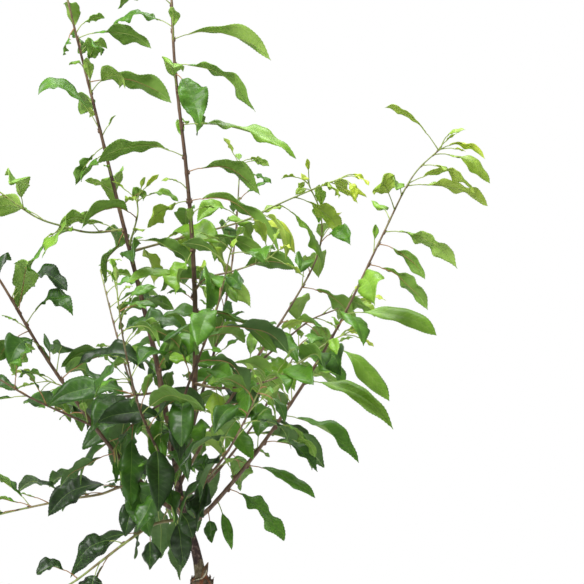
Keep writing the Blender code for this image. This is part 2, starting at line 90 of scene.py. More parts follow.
PLACED_ROLL, PLACED_TWIST = (4, 26), (34, 62)
PLACED_BEND = 0.56  # of the way from the root to the tip
PLACED_ARCH = 6 * MM  # that every placed leaf has besides its own
PLACED_FIT = 0.94  # of the length that its bend and tip give
GOLDEN_TURN = math.radians(144)  # from one leaf to the next, round the stem
CLEARANCE = 1.2 * MM  # between a leaf and anything it doesn't grow from
GROUND_CLEARANCE = 12 * MM
FREE_STALK = 0.7  # of a stalk, from its root, that may touch what it grows from
NEAR_UPRIGHT = 0.05  # the sine of the angle below which a direction counts as upright
EYE_LEVEL = 470 * MM  # leaves below it mostly show their faces, and leaves above it their undersides
TRIES = 9
TRY_TURN = 0.5  # radians, from one try to the next
VIEWPOINT = (100, -1950, 470)  # in front of the tree, at eye level
OPENINGS = (  # gaps that stay open to the viewpoint, as (x, z, radius) on the plane y = 0
    (-190, 635, 38), (-215, 765, 38), (-200, 795, 26), (-185, 690, 26), (-175, 590, 20), (-225, 530, 18),
    (-160, 525, 20), (-145, 480, 23), (-135, 435, 26), (-215, 290, 36), (-235, 170, 33), (-160, 190, 22),
    (-120, 205, 22), (-105, 135, 22), (-75, 685, 28), (0, 600, 18), (35, 600, 16), (75, 470, 25),
    (55, 300, 13), (30, 200, 16), (80, 235, 18), (150, 335, 18), (175, 325, 20), (200, 645, 34),
    (265, 715, 36), (0, 815, 28), (90, 270, 13), (50, 240, 10), (-90, 415, 11), (-115, 470, 12),
    (-240, 320, 24), (-170, 295, 18), (230, 470, 10), (105, 560, 13), (315, 600, 10), (-130, 255, 12),
    (-115, 419, 14), (211, 385, 11), (228, 412, 16), (43, 308, 11), (112, 337, 10), (-86, 371, 10),
    (-131, 541, 8),
)  # fmt: skip

# A shoot springs from the trunk at its first point and runs through the rest, in mm. Its bough is bare
# for `bare` mm, and the foliage begins there.
Shoot = namedtuple("Shoot", "name bare foot_radius points")
SHOOTS = (
    Shoot("left_upright", 40, 3.9, (
        (-41, 0, 281), (-52, 6, 331), (-63, 12, 388), (-84, 16, 474), (-108, 18, 570), (-134, 18, 676),
        (-170, 12, 823), (-189, 10, 915))),
    Shoot("leader", 46, 3.9, (
        (-38, 0, 257), (-26, -3, 279), (-18, -8, 323), (-14, -14, 413), (-17, -20, 520), (-25, -24, 621),
        (-38, -26, 739), (-44, -24, 864), (-54, -20, 1010))),
    Shoot("left", 58, 3.1, (
        (-31, 0, 206), (-53, -12, 219), (-86, -30, 255), (-130, -50, 313), (-186, -70, 398),
        (-234, -85, 483), (-301, -95, 587), (-345, -92, 662))),
    Shoot("left_low", 50, 2.1, (
        (-32, 0, 221), (-94, 25, 235), (-135, 45, 222), (-180, 60, 213), (-265, 85, 192), (-370, 108, 160))),
    Shoot("left_hanging", 48, 2.2, (
        (-29, 0, 198), (-62, -20, 195), (-91, -45, 179), (-122, -65, 157), (-155, -80, 134),
        (-199, -92, 114), (-236, -98, 101))),
    Shoot("right", 46, 2.9, (
        (-26, 0, 190), (-9, -4, 201), (17, -10, 228), (63, -20, 286), (116, -28, 364), (159, -32, 437),
        (206, -34, 534), (242, -32, 605), (277, -28, 641))),
    Shoot("right_inner", 52, 2.3, (
        (-35, 0, 239), (-5, 24, 291), (48, 48, 375), (93, 64, 443), (126, 76, 500), (137, 80, 535),
        (136, 80, 571), (121, 78, 606))),
    Shoot("back", 50, 2.5, (
        (-36, 0, 247), (-29, 25, 272), (-14, 80, 335), (11, 140, 434), (26, 180, 539), (32, 200, 640))),
    Shoot("back_left", 50, 2.3, (
        (-35, 0, 231), (-50, 30, 254), (-91, 95, 322), (-124, 150, 408), (-151, 185, 499))),
    Shoot("back_right", 48, 2.2, (
        (-32, 0, 213), (-11, 30, 229), (29, 90, 272), (72, 150, 331), (111, 195, 400))),
    Shoot("back_low", 46, 2.0, (
        (-29, 0, 196), (-41, 30, 206), (-59, 90, 209), (-76, 150, 212), (-101, 210, 207))),
    Shoot("front", 46, 2.3, (
        (-40, 0, 272), (-44, -26, 292), (-18, -80, 365), (15, -132, 446), (35, -165, 522))),
    Shoot("front_left", 48, 2.2, (
        (-35, 0, 238), (-49, -30, 266), (-73, -90, 335), (-85, -140, 406), (-90, -170, 462))),
    Shoot("front_right", 46, 2.2, (
        (-34, 0, 221), (-8, -30, 242), (24, -85, 283), (48, -135, 327), (68, -175, 369))),
    Shoot("front_low", 22, 1.9, (
        (-30, 0, 205), (-33, -20, 208), (-38, -44, 220), (-42, -68, 241), (-44, -84, 266))),
)  # fmt: skip

# A side twig springs from a shoot at its first point and runs through the rest, in mm.
Twig = namedtuple("Twig", "name shoot foot_radius points")
TWIGS = (
    Twig("pale_left", "left_upright", 1.5, (
        (-103, 18, 546), (-142, 2, 542), (-173, -12, 549), (-204, -24, 560), (-243, -38, 588),
        (-280, -45, 616))),
    Twig("yellow_right", "left_upright", 1.6, (
        (-95, 17, 519), (-54, 28, 531), (37, 40, 556), (80, 42, 576), (114, 42, 591), (164, 38, 611))),
    Twig("sprig", "left_upright", 1.3, ((-96, 17, 527), (-85, 5, 563), (-86, 2, 583))),
    Twig("low_back", "left_upright", 1.7, (
        (-56, 8, 350), (-102, 35, 343), (-136, 52, 341), (-166, 64, 348), (-205, 78, 360))),
    Twig("low_front", "left_upright", 1.5, (
        (-53, 7, 338), (-69, -12, 328), (-94, -32, 308), (-109, -46, 284))),
    Twig("bright_right", "leader", 1.7, (
        (-16, -11, 361), (18, -36, 357), (58, -56, 363), (87, -66, 373), (107, -70, 386), (139, -74, 410),
        (162, -75, 422))),
    Twig("short_right", "leader", 1.4, (
        (-15, -17, 473), (0, -28, 487), (28, -40, 494), (63, -52, 505), (78, -58, 513))),
    Twig("brown_left", "left", 1.5, (
        (-130, -50, 313), (-173, -80, 336), (-203, -98, 353), (-229, -112, 371), (-276, -128, 400))),
    Twig("brown_right", "right_inner", 1.5, (
        (46, 47, 372), (64, 56, 387), (99, 82, 416), (126, 98, 436), (160, 112, 450), (177, 120, 464))),
)  # fmt: skip

# The leaves that stand clear of the crown. Each springs from its shoot at a height, and is given by where
# its tip lies from there (right, back, up), how high it arches above its root, and its width, in mm.
Placed = namedtuple("Placed", "height tip arch width")
PLACED_LEAVES = {
    "leader": (
        (800, (-62, -20, -8), 34, 24), (763, (116, 4, -22), 36, 30), (731, (96, -12, -56), 32, 34),
        (728, (32, -40, -62), 18, 40), (660, (136, -6, -36), 22, 31), (628, (-104, -14, -6), 28, 29),
        (611, (87, 10, -22), 28, 32), (574, (-48, -20, -32), 12, 34), (572, (108, -20, -58), 44, 32),
        (524, (92, -8, -22), 28, 28), (515, (-18, -38, -52), 4, 38), (480, (20, -28, -32), 8, 30),
        (446, (98, -30, -46), 24, 32), (334, (72, -26, -60), 16, 32), (322, (-14, -30, -38), 4, 22),
    ),
    "left_upright": (
        (781, (-12, -14, -34), 4, 24), (765, (90, -6, -12), 24, 32), (717, (100, 10, -20), 20, 30),
        (700, (44, -24, 8), 24, 40), (665, (-74, -8, 44), 50, 30), (646, (-34, -6, -46), 10, 18),
        (632, (-26, -34, -34), 8, 36), (566, (34, -14, 18), 8, 22), (545, (-22, -24, -62), 4, 50),
        (470, (-22, -18, -44), 8, 32), (332, (-10, -38, -70), 6, 30),
    ),
    "left": (
        (455, (64, -8, 12), 40, 28), (431, (56, -16, 14), 42, 26), (425, (-36, -4, -32), 6, 32),
        (405, (-30, -32, -14), 30, 34), (376, (8, -12, 36), 2, 30), (368, (100, -22, 16), 38, 28),
        (341, (58, -6, 6), 24, 20), (278, (-62, -20, -34), 8, 34), (262, (28, -26, -72), 6, 44),
        (243, (-18, -22, -56), 6, 28),
    ),
    "right": (
        (638, (-64, -8, 50), 22, 13), (635, (56, -16, -8), 22, 15), (632, (66, -4, -32), 18, 26),
        (617, (60, -24, -34), 18, 24), (591, (98, 20, -22), 16, 24), (567, (-18, -30, 32), 4, 34),
        (538, (86, -4, -40), 24, 24), (520, (54, -14, -40), 14, 24), (496, (70, 0, -51), 18, 26),
        (440, (108, -6, -20), 16, 32), (410, (70, -16, -66), 12, 34), (363, (104, -8, -52), 28, 32),
        (320, (90, -6, -52), 20, 30), (306, (48, -16, -34), 24, 28), (290, (64, 0, -34), 22, 24),
        (262, (82, -8, -36), 12, 19), (233, (68, -6, -60), 20, 34), (219, (18, -20, -54), 6, 13),
        (208, (6, -26, -34), 4, 16),
    ),
    "left_hanging": (
        (194, (0, -10, -50), 0, 26), (176, (-50, -16, -14), 16, 34), (158, (-12, -14, -44), 4, 32),
        (141, (-46, -10, 8), 14, 24),
    ),
    "front_low": (
        (258, (10, -16, -54), 8, 32), (246, (-34, -14, -48), 8, 30), (234, (40, -8, -24), 8, 26),
        (222, (24, -12, -36), 6, 24), (214, (10, -12, -66), 4, 26),
    ),
}  # fmt: skip

Leaf = namedtuple("Leaf", "root bend tip across twist length width")
Stem = namedtuple("Stem", "name mass route start radius_at sides taken")


# ---- curves ----
class Route:
    """A smooth curve through points, walked by its length."""

    def __init__(self, points, pieces=12):
        ends = [points[0] * 2 - points[1], *points, points[-1] * 2 - points[-2]]
        self.points = [points[0]]
        for before, start, end, after in zip(ends, ends[1:], ends[2:], ends[3:]):
            for piece in range(1, pieces + 1):
                u = piece / pieces
                slope_in = (end - before) / 2
                slope_out = (after - start) / 2
                self.points.append(
                    start * (2 * u**3 - 3 * u**2 + 1)
                    + slope_in * (u**3 - 2 * u**2 + u)
                    + end * (3 * u**2 - 2 * u**3)
                    + slope_out * (u**3 - u**2)
                )
        self.walked = [0.0]
        for start, end in zip(self.points, self.points[1:]):
            self.walked.append(self.walked[-1] + (end - start).length)
        self.length = self.walked[-1]

    def at(self, distance):
        """(point, direction) at a distance along the route."""
        distance = min(max(distance, 0.0), self.length)
        index = next(i for i, far in enumerate(self.walked[1:]) if far >= distance)
        start, end = self.points[index], self.points[index + 1]
        share = (distance - self.walked[index]) / (end - start).length
        return start.lerp(end, share), (end - start).normalized()

    def distance_at_height(self, height):
        """Where the route first passes a height, on its way up or down."""
        rising = self.points[-1].z > self.points[0].z
        walk = zip(self.walked, self.points)
        return next(distance for distance, point in walk if (point.z >= height) == rising)


def in_metres(points):
    return [Vector(point) * MM for point in points]


def stations(route, start, end, step):
    """(distance, point, direction, side) in even steps, with a side that doesn't spin round the route."""
    count = max(2, round((end - start) / step))
    side = last = None
    for k in range(count + 1):
        distance = start + (end - start) * k / count
        point, direction = route.at(distance)
        side = last.rotation_difference(direction) @ side if side else direction.orthogonal().normalized()
        last = direction
        yield distance, point, direction, side


def ring(point, direction, side, radius, sides):
    return [
        point + Quaternion(direction, math.tau * k / sides) @ side * radius
        for k in range(sides)
    ]


# ---- solids ----
def swept_mesh(rings):
    """A closed solid whose end face is extruded from ring to ring."""
    bm = bmesh.new()
    foot = bm.faces.new([bm.verts.new(corner) for corner in rings[0]])
    end = foot
    for corners in rings[1:]:
        made = bmesh.ops.extrude_face_region(bm, geom=[end])["geom"]
        if end is not foot:
            bm.faces.remove(end)
        end = next(item for item in made if isinstance(item, bmesh.types.BMFace))
        for vert, corner in zip(end.verts, corners):
            vert.co = corner
    bmesh.ops.remove_doubles(bm, verts=bm.verts, dist=0.01 * MM)
    bmesh.ops.recalc_face_normals(bm, faces=bm.faces)
    return bm


def painted(bm, slot):
    for face in bm.faces:
        face.material_index = slot
    return bm


# ---- leaves ----
def leaf_frame(leaf, share):
    """(point, direction, across, rise) on the leaf's midrib, from its root at 0 to its tip at 1."""
    point = leaf.root * (1 - share) ** 2 + leaf.bend * 2 * share * (1 - share) + leaf.tip * share**2
    direction = ((leaf.bend - leaf.root) * (1 - share) + (leaf.tip - leaf.bend) * share).normalized()
    across = (leaf.across - direction * leaf.across.dot(direction)).normalized()
    across.rotate(Quaternion(direction, leaf.twist * share**2))
    return point, direction, across, across.cross(direction)


def leaf_rings(leaf, spread=0.0):
    """Three corners at each station of the leaf: its two edges and the keel of its midrib."""
    petiole_end = PETIOLE / (PETIOLE + leaf.length)
    stations = (
        (0, PETIOLE_RADIUS, PETIOLE_RADIUS),
        (petiole_end, PETIOLE_RADIUS, PETIOLE_RADIUS),
        (petiole_end + 0.3, leaf.width / 2, leaf.length * LEAF_THICKNESS),
        (petiole_end + 0.58, leaf.width * 0.4, leaf.length * LEAF_THICKNESS * 0.8),
        (1, 0, 0),
    )
    rings = []
    for share, half_width, keel in stations:
        point, _, across, rise = leaf_frame(leaf, share)
        rings.append([
            point + across * (half_width + spread) + rise * spread,
            point - across * (half_width + spread) + rise * spread,
            point - rise * (keel + spread),
        ])
    return rings


def leaf_solid(rings):
    """A leaf's stations joined, each side split along the diagonal that stands out from its midrib."""
    bm = swept_mesh(rings)
    bm.normal_update()
    for face in [face for face in bm.faces if len(face.verts) == 4]:
        a, b, c, d = face.verts
        if (a.co + c.co - b.co - d.co).dot(face.normal) > 0:
            bmesh.utils.face_split(face, a, c)
        else:
            bmesh.utils.face_split(face, b, d)
    return bm


def level_side(direction, otherwise):
    """The level direction across another, or `otherwise` where that one stands upright."""
    side = direction.cross(UP)
    return side.normalized() if side.length > NEAR_UPRIGHT else Vector(otherwise)


def leaving_stem(rng, direction, turn, angles, flatness):
    """The way in which a leaf leaves its stem. Flatness keeps the leaves of a lying stem to its sides."""
    side = level_side(direction, (1, 0, 0))
    over = side.cross(direction).normalized()
    lying = 1 - flatness * Vector((direction.x, direction.y)).length
    round_stem = (side * math.cos(turn) + over * math.sin(turn) * lying).normalized()
    angle = math.radians(rng.uniform(*angles))
    return (direction * math.cos(angle) + round_stem * math.sin(angle)).normalized()


def grown_leaf(rng, point, direction, turn, length):
    """A leaf by rule: it leaves its stem at an angle, then its blade arches over and hangs."""
    first = leaving_stem(rng, direction, turn, LEAVING, FLATNESS)
    flat = Vector((first.x, first.y, 0)).normalized()
    flat.rotate(Matrix.Rotation(math.radians(rng.uniform(-SWING, SWING)), 3, "Z"))
    hanging = math.asin(max(-1, min(1, first.z))) - math.radians(rng.uniform(*HANG))
    hanging = max(hanging, math.radians(STEEPEST))
    second = flat * math.cos(hanging) + UP * math.sin(hanging)
    way = rng.choice((-1, 1))
    roll = way * rng.uniform(*ROLL)
    twist = way * rng.uniform(*TWIST)
    return bent_leaf(point, first, second, roll, twist, length, LEAF_SLENDERNESS)


def rolled_leaf(root, bend, tip, roll, twist, length, width):
    """A leaf turned about its own length: level across at its root at a roll of 0 degrees."""
    along = (tip - root).normalized()
    across = level_side(along, (0, 1, 0))
    across.rotate(Quaternion(along, math.radians(roll)))
    return Leaf(root, bend, tip, across, math.radians(twist), length, width)


def bent_leaf(root, first, second, roll, twist, length, slenderness):
    """A leaf whose two halves lie in two directions."""
    reach = (length + PETIOLE) / 2
    bend = root + first * reach
    return rolled_leaf(root, bend, bend + second * reach, roll, twist, length, length * slenderness)


def placed_leaf(shoot, placed, root):
    """A placed leaf. Most turn their faces to the viewpoint below eye level, and away from it above."""
    rng = random.Random(f"{shoot} {placed.height}")
    tip = root + Vector(placed.tip) * MM
    bend = root.lerp(tip, PLACED_BEND) + UP * (placed.arch * MM + PLACED_ARCH)
    length = (bend - root).length + (tip - bend).length - PETIOLE
    way = math.copysign(1, placed.tip[0])
    if rng.random() < (0.75 if root.z > EYE_LEVEL else 0.25):
        way = -way
    roll = way * rng.uniform(*PLACED_ROLL)
    twist = way * rng.uniform(*PLACED_TWIST)
    return rolled_leaf(root, bend, tip, roll, twist, length * PLACED_FIT, placed.width * MM)


def leaf_size(rng, share):
    """Leaves are largest along the middle of a shoot, and young and short at its tip."""
    size = 0.8 + 0.3 * math.sin(math.pi * min(1, share * 1.15))
    if share > 0.8:
        size *= 1 - 0.6 * (share - 0.8) / 0.2
    return LEAF_LENGTH * size * rng.uniform(0.84, 1.14)


class Crown:
    """What has grown so far, against which each new leaf is tested."""

    def __init__(self):
        self.grown = []

    def add(self, bm):
        """Adds a solid, and frees its mesh."""
        points = [vert.co for vert in bm.verts]
        centre = sum(points, Vector()) / len(points)
        reach = max((point - centre).length for point in points)
        self.grown.append((BVHTree.FromBMesh(bm), centre, reach))
        bm.free()

    def is_clear(self, leaf):
        rings = leaf_rings(leaf, CLEARANCE)
        if min(corner.z for corners in rings for corner in corners) < GROUND_CLEARANCE:
            return False
        root = leaf_frame(leaf, PETIOLE * FREE_STALK / (PETIOLE + leaf.length))[0]
        rings[0] = [root + (corner - leaf.root) for corner in rings[0]]
        bm = leaf_solid(rings)
        centre = leaf.root.lerp(leaf.tip, 0.5)
        reach = max((vert.co - centre).length for vert in bm.verts)
        tree = BVHTree.FromBMesh(bm)
        bm.free()
        return not any(
            (centre - middle).length < reach + far and tree.overlap(other)
            for other, middle, far in self.grown
        )

    def take(self, leaf):
        self.add(leaf_solid(leaf_rings(leaf)))

    def first_taken(self, leaves):
        """The first leaf of some tries that is clear of all that has grown and of the openings, or None."""
        for leaf in leaves:
            if not is_in_opening(leaf) and self.is_clear(leaf):
                self.take(leaf)
                return leaf


def is_in_opening(leaf):
    """Whether a corner of a leaf's blade would stand in one of the gaps in the crown."""
    eye = Vector(VIEWPOINT) * MM
    for corner in [corner for corners in leaf_rings(leaf)[2:] for corner in corners]:
        seen = eye + (corner - eye) * eye.y / (eye.y - corner.y)
        for x, z, radius in OPENINGS:
            if math.hypot(seen.x - x * MM, seen.z - z * MM) < radius * MM:
                return True
    return False


def leaves_along(crown, stem):
    """Leaves by rule along a stem, out to its tip, away from the leaves that are placed on it."""
    rng = random.Random(stem.name)
    leaves = []
    turn = rng.uniform(0, math.tau)
    distance = stem.start + LEAF_SPACING * rng.uniform(0.2, 0.6)
    while distance < stem.route.length:
        share = distance / stem.route.length
        turn += GOLDEN_TURN + rng.uniform(-0.3, 0.3)
        length = leaf_size(rng, share)
        step = LEAF_SPACING * (1 - 0.5 * share**4) * rng.uniform(*LEAF_SPACING_SPREAD)
        if all(abs(distance - other) > LEAF_SPACING / 2 for other in stem.taken):
            leaf_rng = random.Random(f"{stem.name} {distance:.4f}")
            point, direction = stem.route.at(distance)
            leaves.append(crown.first_taken(
                grown_leaf(leaf_rng, point, direction, turn + attempt * TRY_TURN, length)
                for attempt in range(TRIES)
            ))
        distance += step
    return [leaf for leaf in leaves if leaf]


def tapered(route, foot_radius):
    """The radius at each distance along a route, from its foot to its tip."""
    foot = foot_radius * MM
    return lambda distance: foot + (TIP_RADIUS - foot) * (distance / route.length) ** TAPER


def grown_stems():
    """The stem of each shoot beyond its bough, and its side twigs."""
    stems = []
    for shoot in SHOOTS:
        route = Route(in_metres(shoot.points))
        start = shoot.bare * MM + GAP
        radius_at = tapered(route, shoot.foot_radius)
        stems.append(Stem(shoot.name, shoot.name, route, start, radius_at, STEM_SIDES, []))
    for twig in TWIGS:
        route = Route(in_metres(twig.points))
        radius_at = tapered(route, twig.foot_radius)
        stems.append(Stem(twig.name, twig.shoot, route, 0, radius_at, TWIG_SIDES, []))
    return stems


def grown_leaves(crown, stems):
    """{mass: its (stem, leaf) pairs}, the placed ones first."""
    by_name = {stem.name: stem for stem in stems}
    leaves = {shoot.name: [] for shoot in SHOOTS}
    for shoot, rows in PLACED_LEAVES.items():
        stem = by_name[shoot]
        for placed in [Placed(*row) for row in rows]:
            distance = stem.route.distance_at_height(placed.height * MM)
            leaf = placed_leaf(shoot, placed, stem.route.at(distance)[0])
            if crown.is_clear(leaf):
                crown.take(leaf)
                leaves[shoot].append((stem, leaf))
                stem.taken.append(distance)
    for stem in stems:
        leaves[stem.mass] += [(stem, leaf) for leaf in leaves_along(crown, stem)]
    return leaves


def stem_rings(stem):
    """The solid stem that the leaves are tested against."""
    walk = stations(stem.route, stem.start, stem.route.length, LIMB_STEP)
    return [
        ring(point, direction, side, stem.radius_at(distance), stem.sides)
        for distance, point, direction, side in walk
    ]


# ---- the finer wood and leaves ----
WOOD_SIDES = 10
WOOD_STEP = 4 * MM
FINE_TIP_RADIUS = 0.75 * MM
COLLAR_SWELL = 0.55  # of a shoot's radius, where it leaves the trunk or a shoot
COLLAR_LENGTH = 7 * MM
NODE_SWELL = 0.16  # of a shoot's radius, where a leaf leaves it
NODE_LENGTH = 2.6 * MM
UNEVENNESS, UNEVENNESS_SIZE = 0.05, 6 * MM
CUSHION_LENGTH = 2.4 * MM
CUSHION_DROP = 0.6 * MM
BUD_LENGTH = 3.2 * MM
BUD_RADIUS = 0.95 * MM
BUD_GAP, BUD_RISE = 0.35 * MM, 2.4 * MM  # from the bark, and above the leaf, to the bud's middle
BUD_LEAN = math.radians(24)
BARE_FOOT = 6 * BUD_LENGTH  # of each stem, without buds

BLADE_ROWS = 54
YOUNG_BLADE_ROWS = 20
BLADE_COLUMNS = (-1, -0.72, -0.4, None, None, 0.4, 0.72, 1)  # of the half width, None at the midrib
BLADE_THICKNESS = 0.32 * MM
MIDRIB_HALF_WIDTH = 0.38 * MM
BASE_FULLNESS = (0.72, 0.98)  # the outline's power at the base: rounded below 1, a hollow wedge above
TIP_FULLNESS = (0.78, 1.08)
LONG_WEDGE = 0.6  # added to the base's power high in the tree, where the blades widen late
LONG_TIP = 0.22  # added to the tip's power there, for a longer point
LONG_LEVEL = 520 * MM
TOOTH_DEPTH = 0.7 * MM
VEIN_SPACING = 8 * MM
VEIN_RELIEF = 0.9 * MM
VEIN_SLANT = 0.9
TOOTHED_WIDTH = 24 * MM  # a narrower blade has smaller teeth
USUAL_WIDTH = 30 * MM  # a narrower blade has less relief
FOLD = (12, 34)  # degrees that each half of a blade is folded up
CURL = (0.0, 0.5)
WAVES = (1.3, 2.6)  # along each edge
WAVE_HEIGHT = (2.2, 6.0)
SWAY = (0.6, 3.0)  # of the midrib
HOOK = (0, 5)  # of the tip
HOOK_START = 0.7
UV_NAME = "veins"
FINE_PETIOLE_RADIUS = 0.62 * MM
PETIOLE_SIDES = 5
PETIOLE_ROWS = 6
RAISED_RIB_ROWS = 9

AXIL_SHARE = 0.42  # of the leaves, that have a young one in their axil
AXIL_LENGTH = (18 * MM, 44 * MM)
TUFT_LEAVES = 3
TUFT_STEP = 3 * MM
TUFT_LENGTH = (16 * MM, 34 * MM)
YOUNG_LEAVING = (22, 52)  # degrees from the stem
YOUNG_DROOP = (0.2, 1.1)
YOUNG_ROLL = (-40, 40)
YOUNG_SLENDERNESS = 0.36
YOUNG_TRY_TURN = 0.9

# How fresh the leaves on each stem are: 1 is as young and yellow as a leaf gets, 0 old and dark.
FRESHNESS = {
    "yellow_right": 0.64, "pale_left": 0.5, "sprig": 0.46, "bright_right": 0.5, "short_right": 0.46,
    "right": 0.46, "right_inner": 0.46, "leader": 0.42, "left_upright": 0.36, "left": 0.28,
    "brown_left": 0.3, "brown_right": 0.44,
}  # fmt: skip
USUAL_FRESHNESS = 0.24
FRESHNESS_SPREAD = 0.09
YOUNG_FRESHNESS = 0.13  # what a young leaf has more
TIP_START, TIP_FRESHNESS = 0.72, 0.2  # where on a stem the leaves get fresher, and by how much at its tip
PAINTED_SHADE_TOP, PAINTED_SHADE_AND_AGE = 400 * MM, 0.26  # below what level they get darker, as painted shade together with older leaves, and by how much at the ground
PAINTED_LIGHT_LEVEL, PAINTED_LIGHT_DEPTH, PAINTED_LIGHT_AND_YOUTH = 390 * MM, 300 * MM, 0.08  # above what level they get paler, as painted light together with younger leaves, and by how much
RED_STALKS, RED_STALK_TONES = 0.4, 3  # the share of red stalks, in so many of the oldest tones

# The same for the wood of the stems.
WOOD_FRESHNESS = {
    "yellow_right": 0.62, "pale_left": 0.74, "sprig": 0.7, "bright_right": 0.5, "short_right": 0.5,
    "right": 0.26, "right_inner": 0.3, "leader": 0.18, "left_upright": 0.14, "left": 0.2,
    "left_hanging": 0.62, "left_low": 0.6,
}  # fmt: skip
USUAL_WOOD_FRESHNESS = 0.22
WOOD_TIP_FRESHNESS = 0.62  # what the wood at a tip has more
WOOD_PATCHES, WOOD_PATCH_SIZE = 0.2, 9 * MM

LeafForm = namedtuple("LeafForm", "base apex fold curl waves wave_height phases sway hook")


# ---- one leaf ----
def leaf_form(rng, leaf):
    """How a blade departs from flat."""
    size = leaf.width / USUAL_WIDTH
    high = min(1, leaf.root.z / LONG_LEVEL) ** 2
    return LeafForm(
        base=rng.uniform(*BASE_FULLNESS) + LONG_WEDGE * high,
        apex=rng.uniform(*TIP_FULLNESS) + LONG_TIP * high,
        fold=math.radians(rng.uniform(*FOLD)),
        curl=rng.uniform(*CURL),
        waves=rng.uniform(*WAVES),
        wave_height=rng.uniform(*WAVE_HEIGHT) * MM * min(1, size),
        phases=(rng.uniform(0, math.tau), rng.uniform(0, math.tau)),
        sway=rng.uniform(*SWAY) * MM * size,
        hook=rng.uniform(*HOOK) * MM * size,
    )


def half_width(leaf, form, along):
    """Half the blade's width, from its base at 0 to its tip at 1."""
    widest = form.base / (form.base + form.apex)
    most = widest**form.base * (1 - widest) ** form.apex
    share = along**form.base * (1 - along) ** form.apex / most
    return max(leaf.width / 2 * share, MIDRIB_HALF_WIDTH * 0.4)


def blade_frame(leaf, form, along):
    """(point, direction, across, rise) on the blade's midrib, whose tip hooks down."""
    base = PETIOLE / (PETIOLE + leaf.length)
    point, direction, across, rise = leaf_frame(leaf, base + (1 - base) * along)
    beyond = max(0, along - HOOK_START) / (1 - HOOK_START)
    sway = math.sin(math.pi * along) * math.sin(math.tau * form.waves * 0.5 * along + form.phases[0])
    return point - UP * form.hook * beyond**2 + rise * form.sway * sway, direction, across, rise


def blade_height(leaf, form, along, share):
    """How far a point of the blade stands above its midrib. Its share is -1 and 1 at the edges."""
    reach = half_width(leaf, form, along) * abs(share)
    fold = reach * math.sin(form.fold) - reach * abs(share) * form.curl
    phase = form.phases[share > 0]
    ripple = math.sin(math.tau * form.waves * along + phase)
    ripple += 0.3 * math.sin(math.tau * form.waves * 2.3 * along + phase * 1.7)
    wave = form.wave_height * share**2 * ripple
    vein = vein_phase(leaf, along, reach)
    between_veins = abs(math.sin(math.pi * vein)) * min(1, abs(share) * 4) * (1 - share**4)
    relief = VEIN_RELIEF * leaf.width / USUAL_WIDTH * between_veins
    return fold + (wave + relief) * math.sin(math.pi * along) ** 0.5


def vein_phase(leaf, along, reach):
    """Rises by 1 from one side vein to the next. The veins slant forward from the midrib."""
    return (along * leaf.length - reach * VEIN_SLANT) / VEIN_SPACING


def blade_mesh(leaf, form, rows, face_slot, rib_slot):
    """A leaf's blade as a sheet, a grid with its corners moved to the leaf's outline and folds."""
    bm = bmesh.new()
    uv_layer = bm.loops.layers.uv.new(UV_NAME)
    phases = {}
    last_column = len(BLADE_COLUMNS) - 1
    bmesh.ops.create_grid(bm, x_segments=rows, y_segments=last_column, size=1)
    for face in bm.faces:
        on_midrib = abs(face.calc_center_median().y) < 1 / last_column
        face.material_index = rib_slot if on_midrib else face_slot
    for vert in bm.verts:
        row = round((vert.co.x + 1) / 2 * rows)
        column = round((vert.co.y + 1) / 2 * last_column)
        along = row / rows
        half = half_width(leaf, form, along)
        share = BLADE_COLUMNS[column]
        if share is None:
            rib = min(MIDRIB_HALF_WIDTH * (1 - 0.7 * along), half * 0.5)
            share = math.copysign(rib / half, vert.co.y)
        reach = half * abs(share) * math.cos(form.fold)
        if abs(share) == 1 and row % 2 and half > 2 * TOOTH_DEPTH:
            reach += TOOTH_DEPTH * min(1, leaf.width / TOOTHED_WIDTH)
        point, _, across, rise = blade_frame(leaf, form, along)
        side = across * -math.copysign(reach, share)
        vert.co = point + side + rise * blade_height(leaf, form, along, share)
        phases[vert] = (vein_phase(leaf, along, reach), abs(share))
    for face in bm.faces:
        for loop in face.loops:
            loop[uv_layer].uv = phases[loop.vert]
    return bm


def petiole_mesh(leaf, form, slot):
    """The leaf's stalk, which runs on under the blade as its raised midrib."""
    base = PETIOLE / (PETIOLE + leaf.length)
    rings = []
    for step in range(PETIOLE_ROWS):
        point, direction, across, _ = leaf_frame(leaf, base * step / PETIOLE_ROWS)
        radius = FINE_PETIOLE_RADIUS * (1.45 - 0.45 * min(1, step / 3))
        rings.append(ring(point, direction, across, radius, PETIOLE_SIDES))
    for step in range(RAISED_RIB_ROWS):
        along = 0.1 * step
        point, direction, across, rise = blade_frame(leaf, form, along)
        radius = FINE_PETIOLE_RADIUS * (1 - 0.8 * along)
        rings.append(ring(point - rise * radius, direction, across, radius, PETIOLE_SIDES))
    return painted(swept_mesh(rings), slot)


# ---- many shapes in one piece ----
def gathered(shapes):
    """Several meshes as one."""
    whole = bmesh.new()
    for shape in shapes:
        mesh = bpy.data.meshes.new("shape")
        shape.to_mesh(mesh)
        shape.free()
        whole.from_mesh(mesh)
        bpy.data.meshes.remove(mesh)
    return whole


def linked(name, data, place=(0, 0, 0), rotation=(0, 0, 0)):
    """An object of some data, in the scene."""
    made = bpy.data.objects.new(name, data)
    made.location = place
    made.rotation_euler = rotation
    bpy.context.scene.collection.objects.link(made)
    return made


def made_object(name, bm, materials):
    mesh = bpy.data.meshes.new(name)
    bm.to_mesh(mesh)
    bm.free()
    for material in materials:
        mesh.materials.append(material)
    return linked(name, mesh)


def add_piece(name, shapes, materials, replaced):
    """Several meshes as one piece, which rides on the tree and stands for the solids that it replaces."""
    piece = made_object(name, gathered(shapes), materials)
    piece.data.shade_smooth()
    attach(piece, "root")
    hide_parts(*replaced)


# ---- the leaves ----
def share_along(stem, point):
    """Where on its stem a leaf stands, from the foot at 0 to the tip at 1."""
    nearest = min(range(len(stem.route.points)), key=lambda i: (stem.route.points[i] - point).length)
    return stem.route.walked[nearest] / stem.route.length


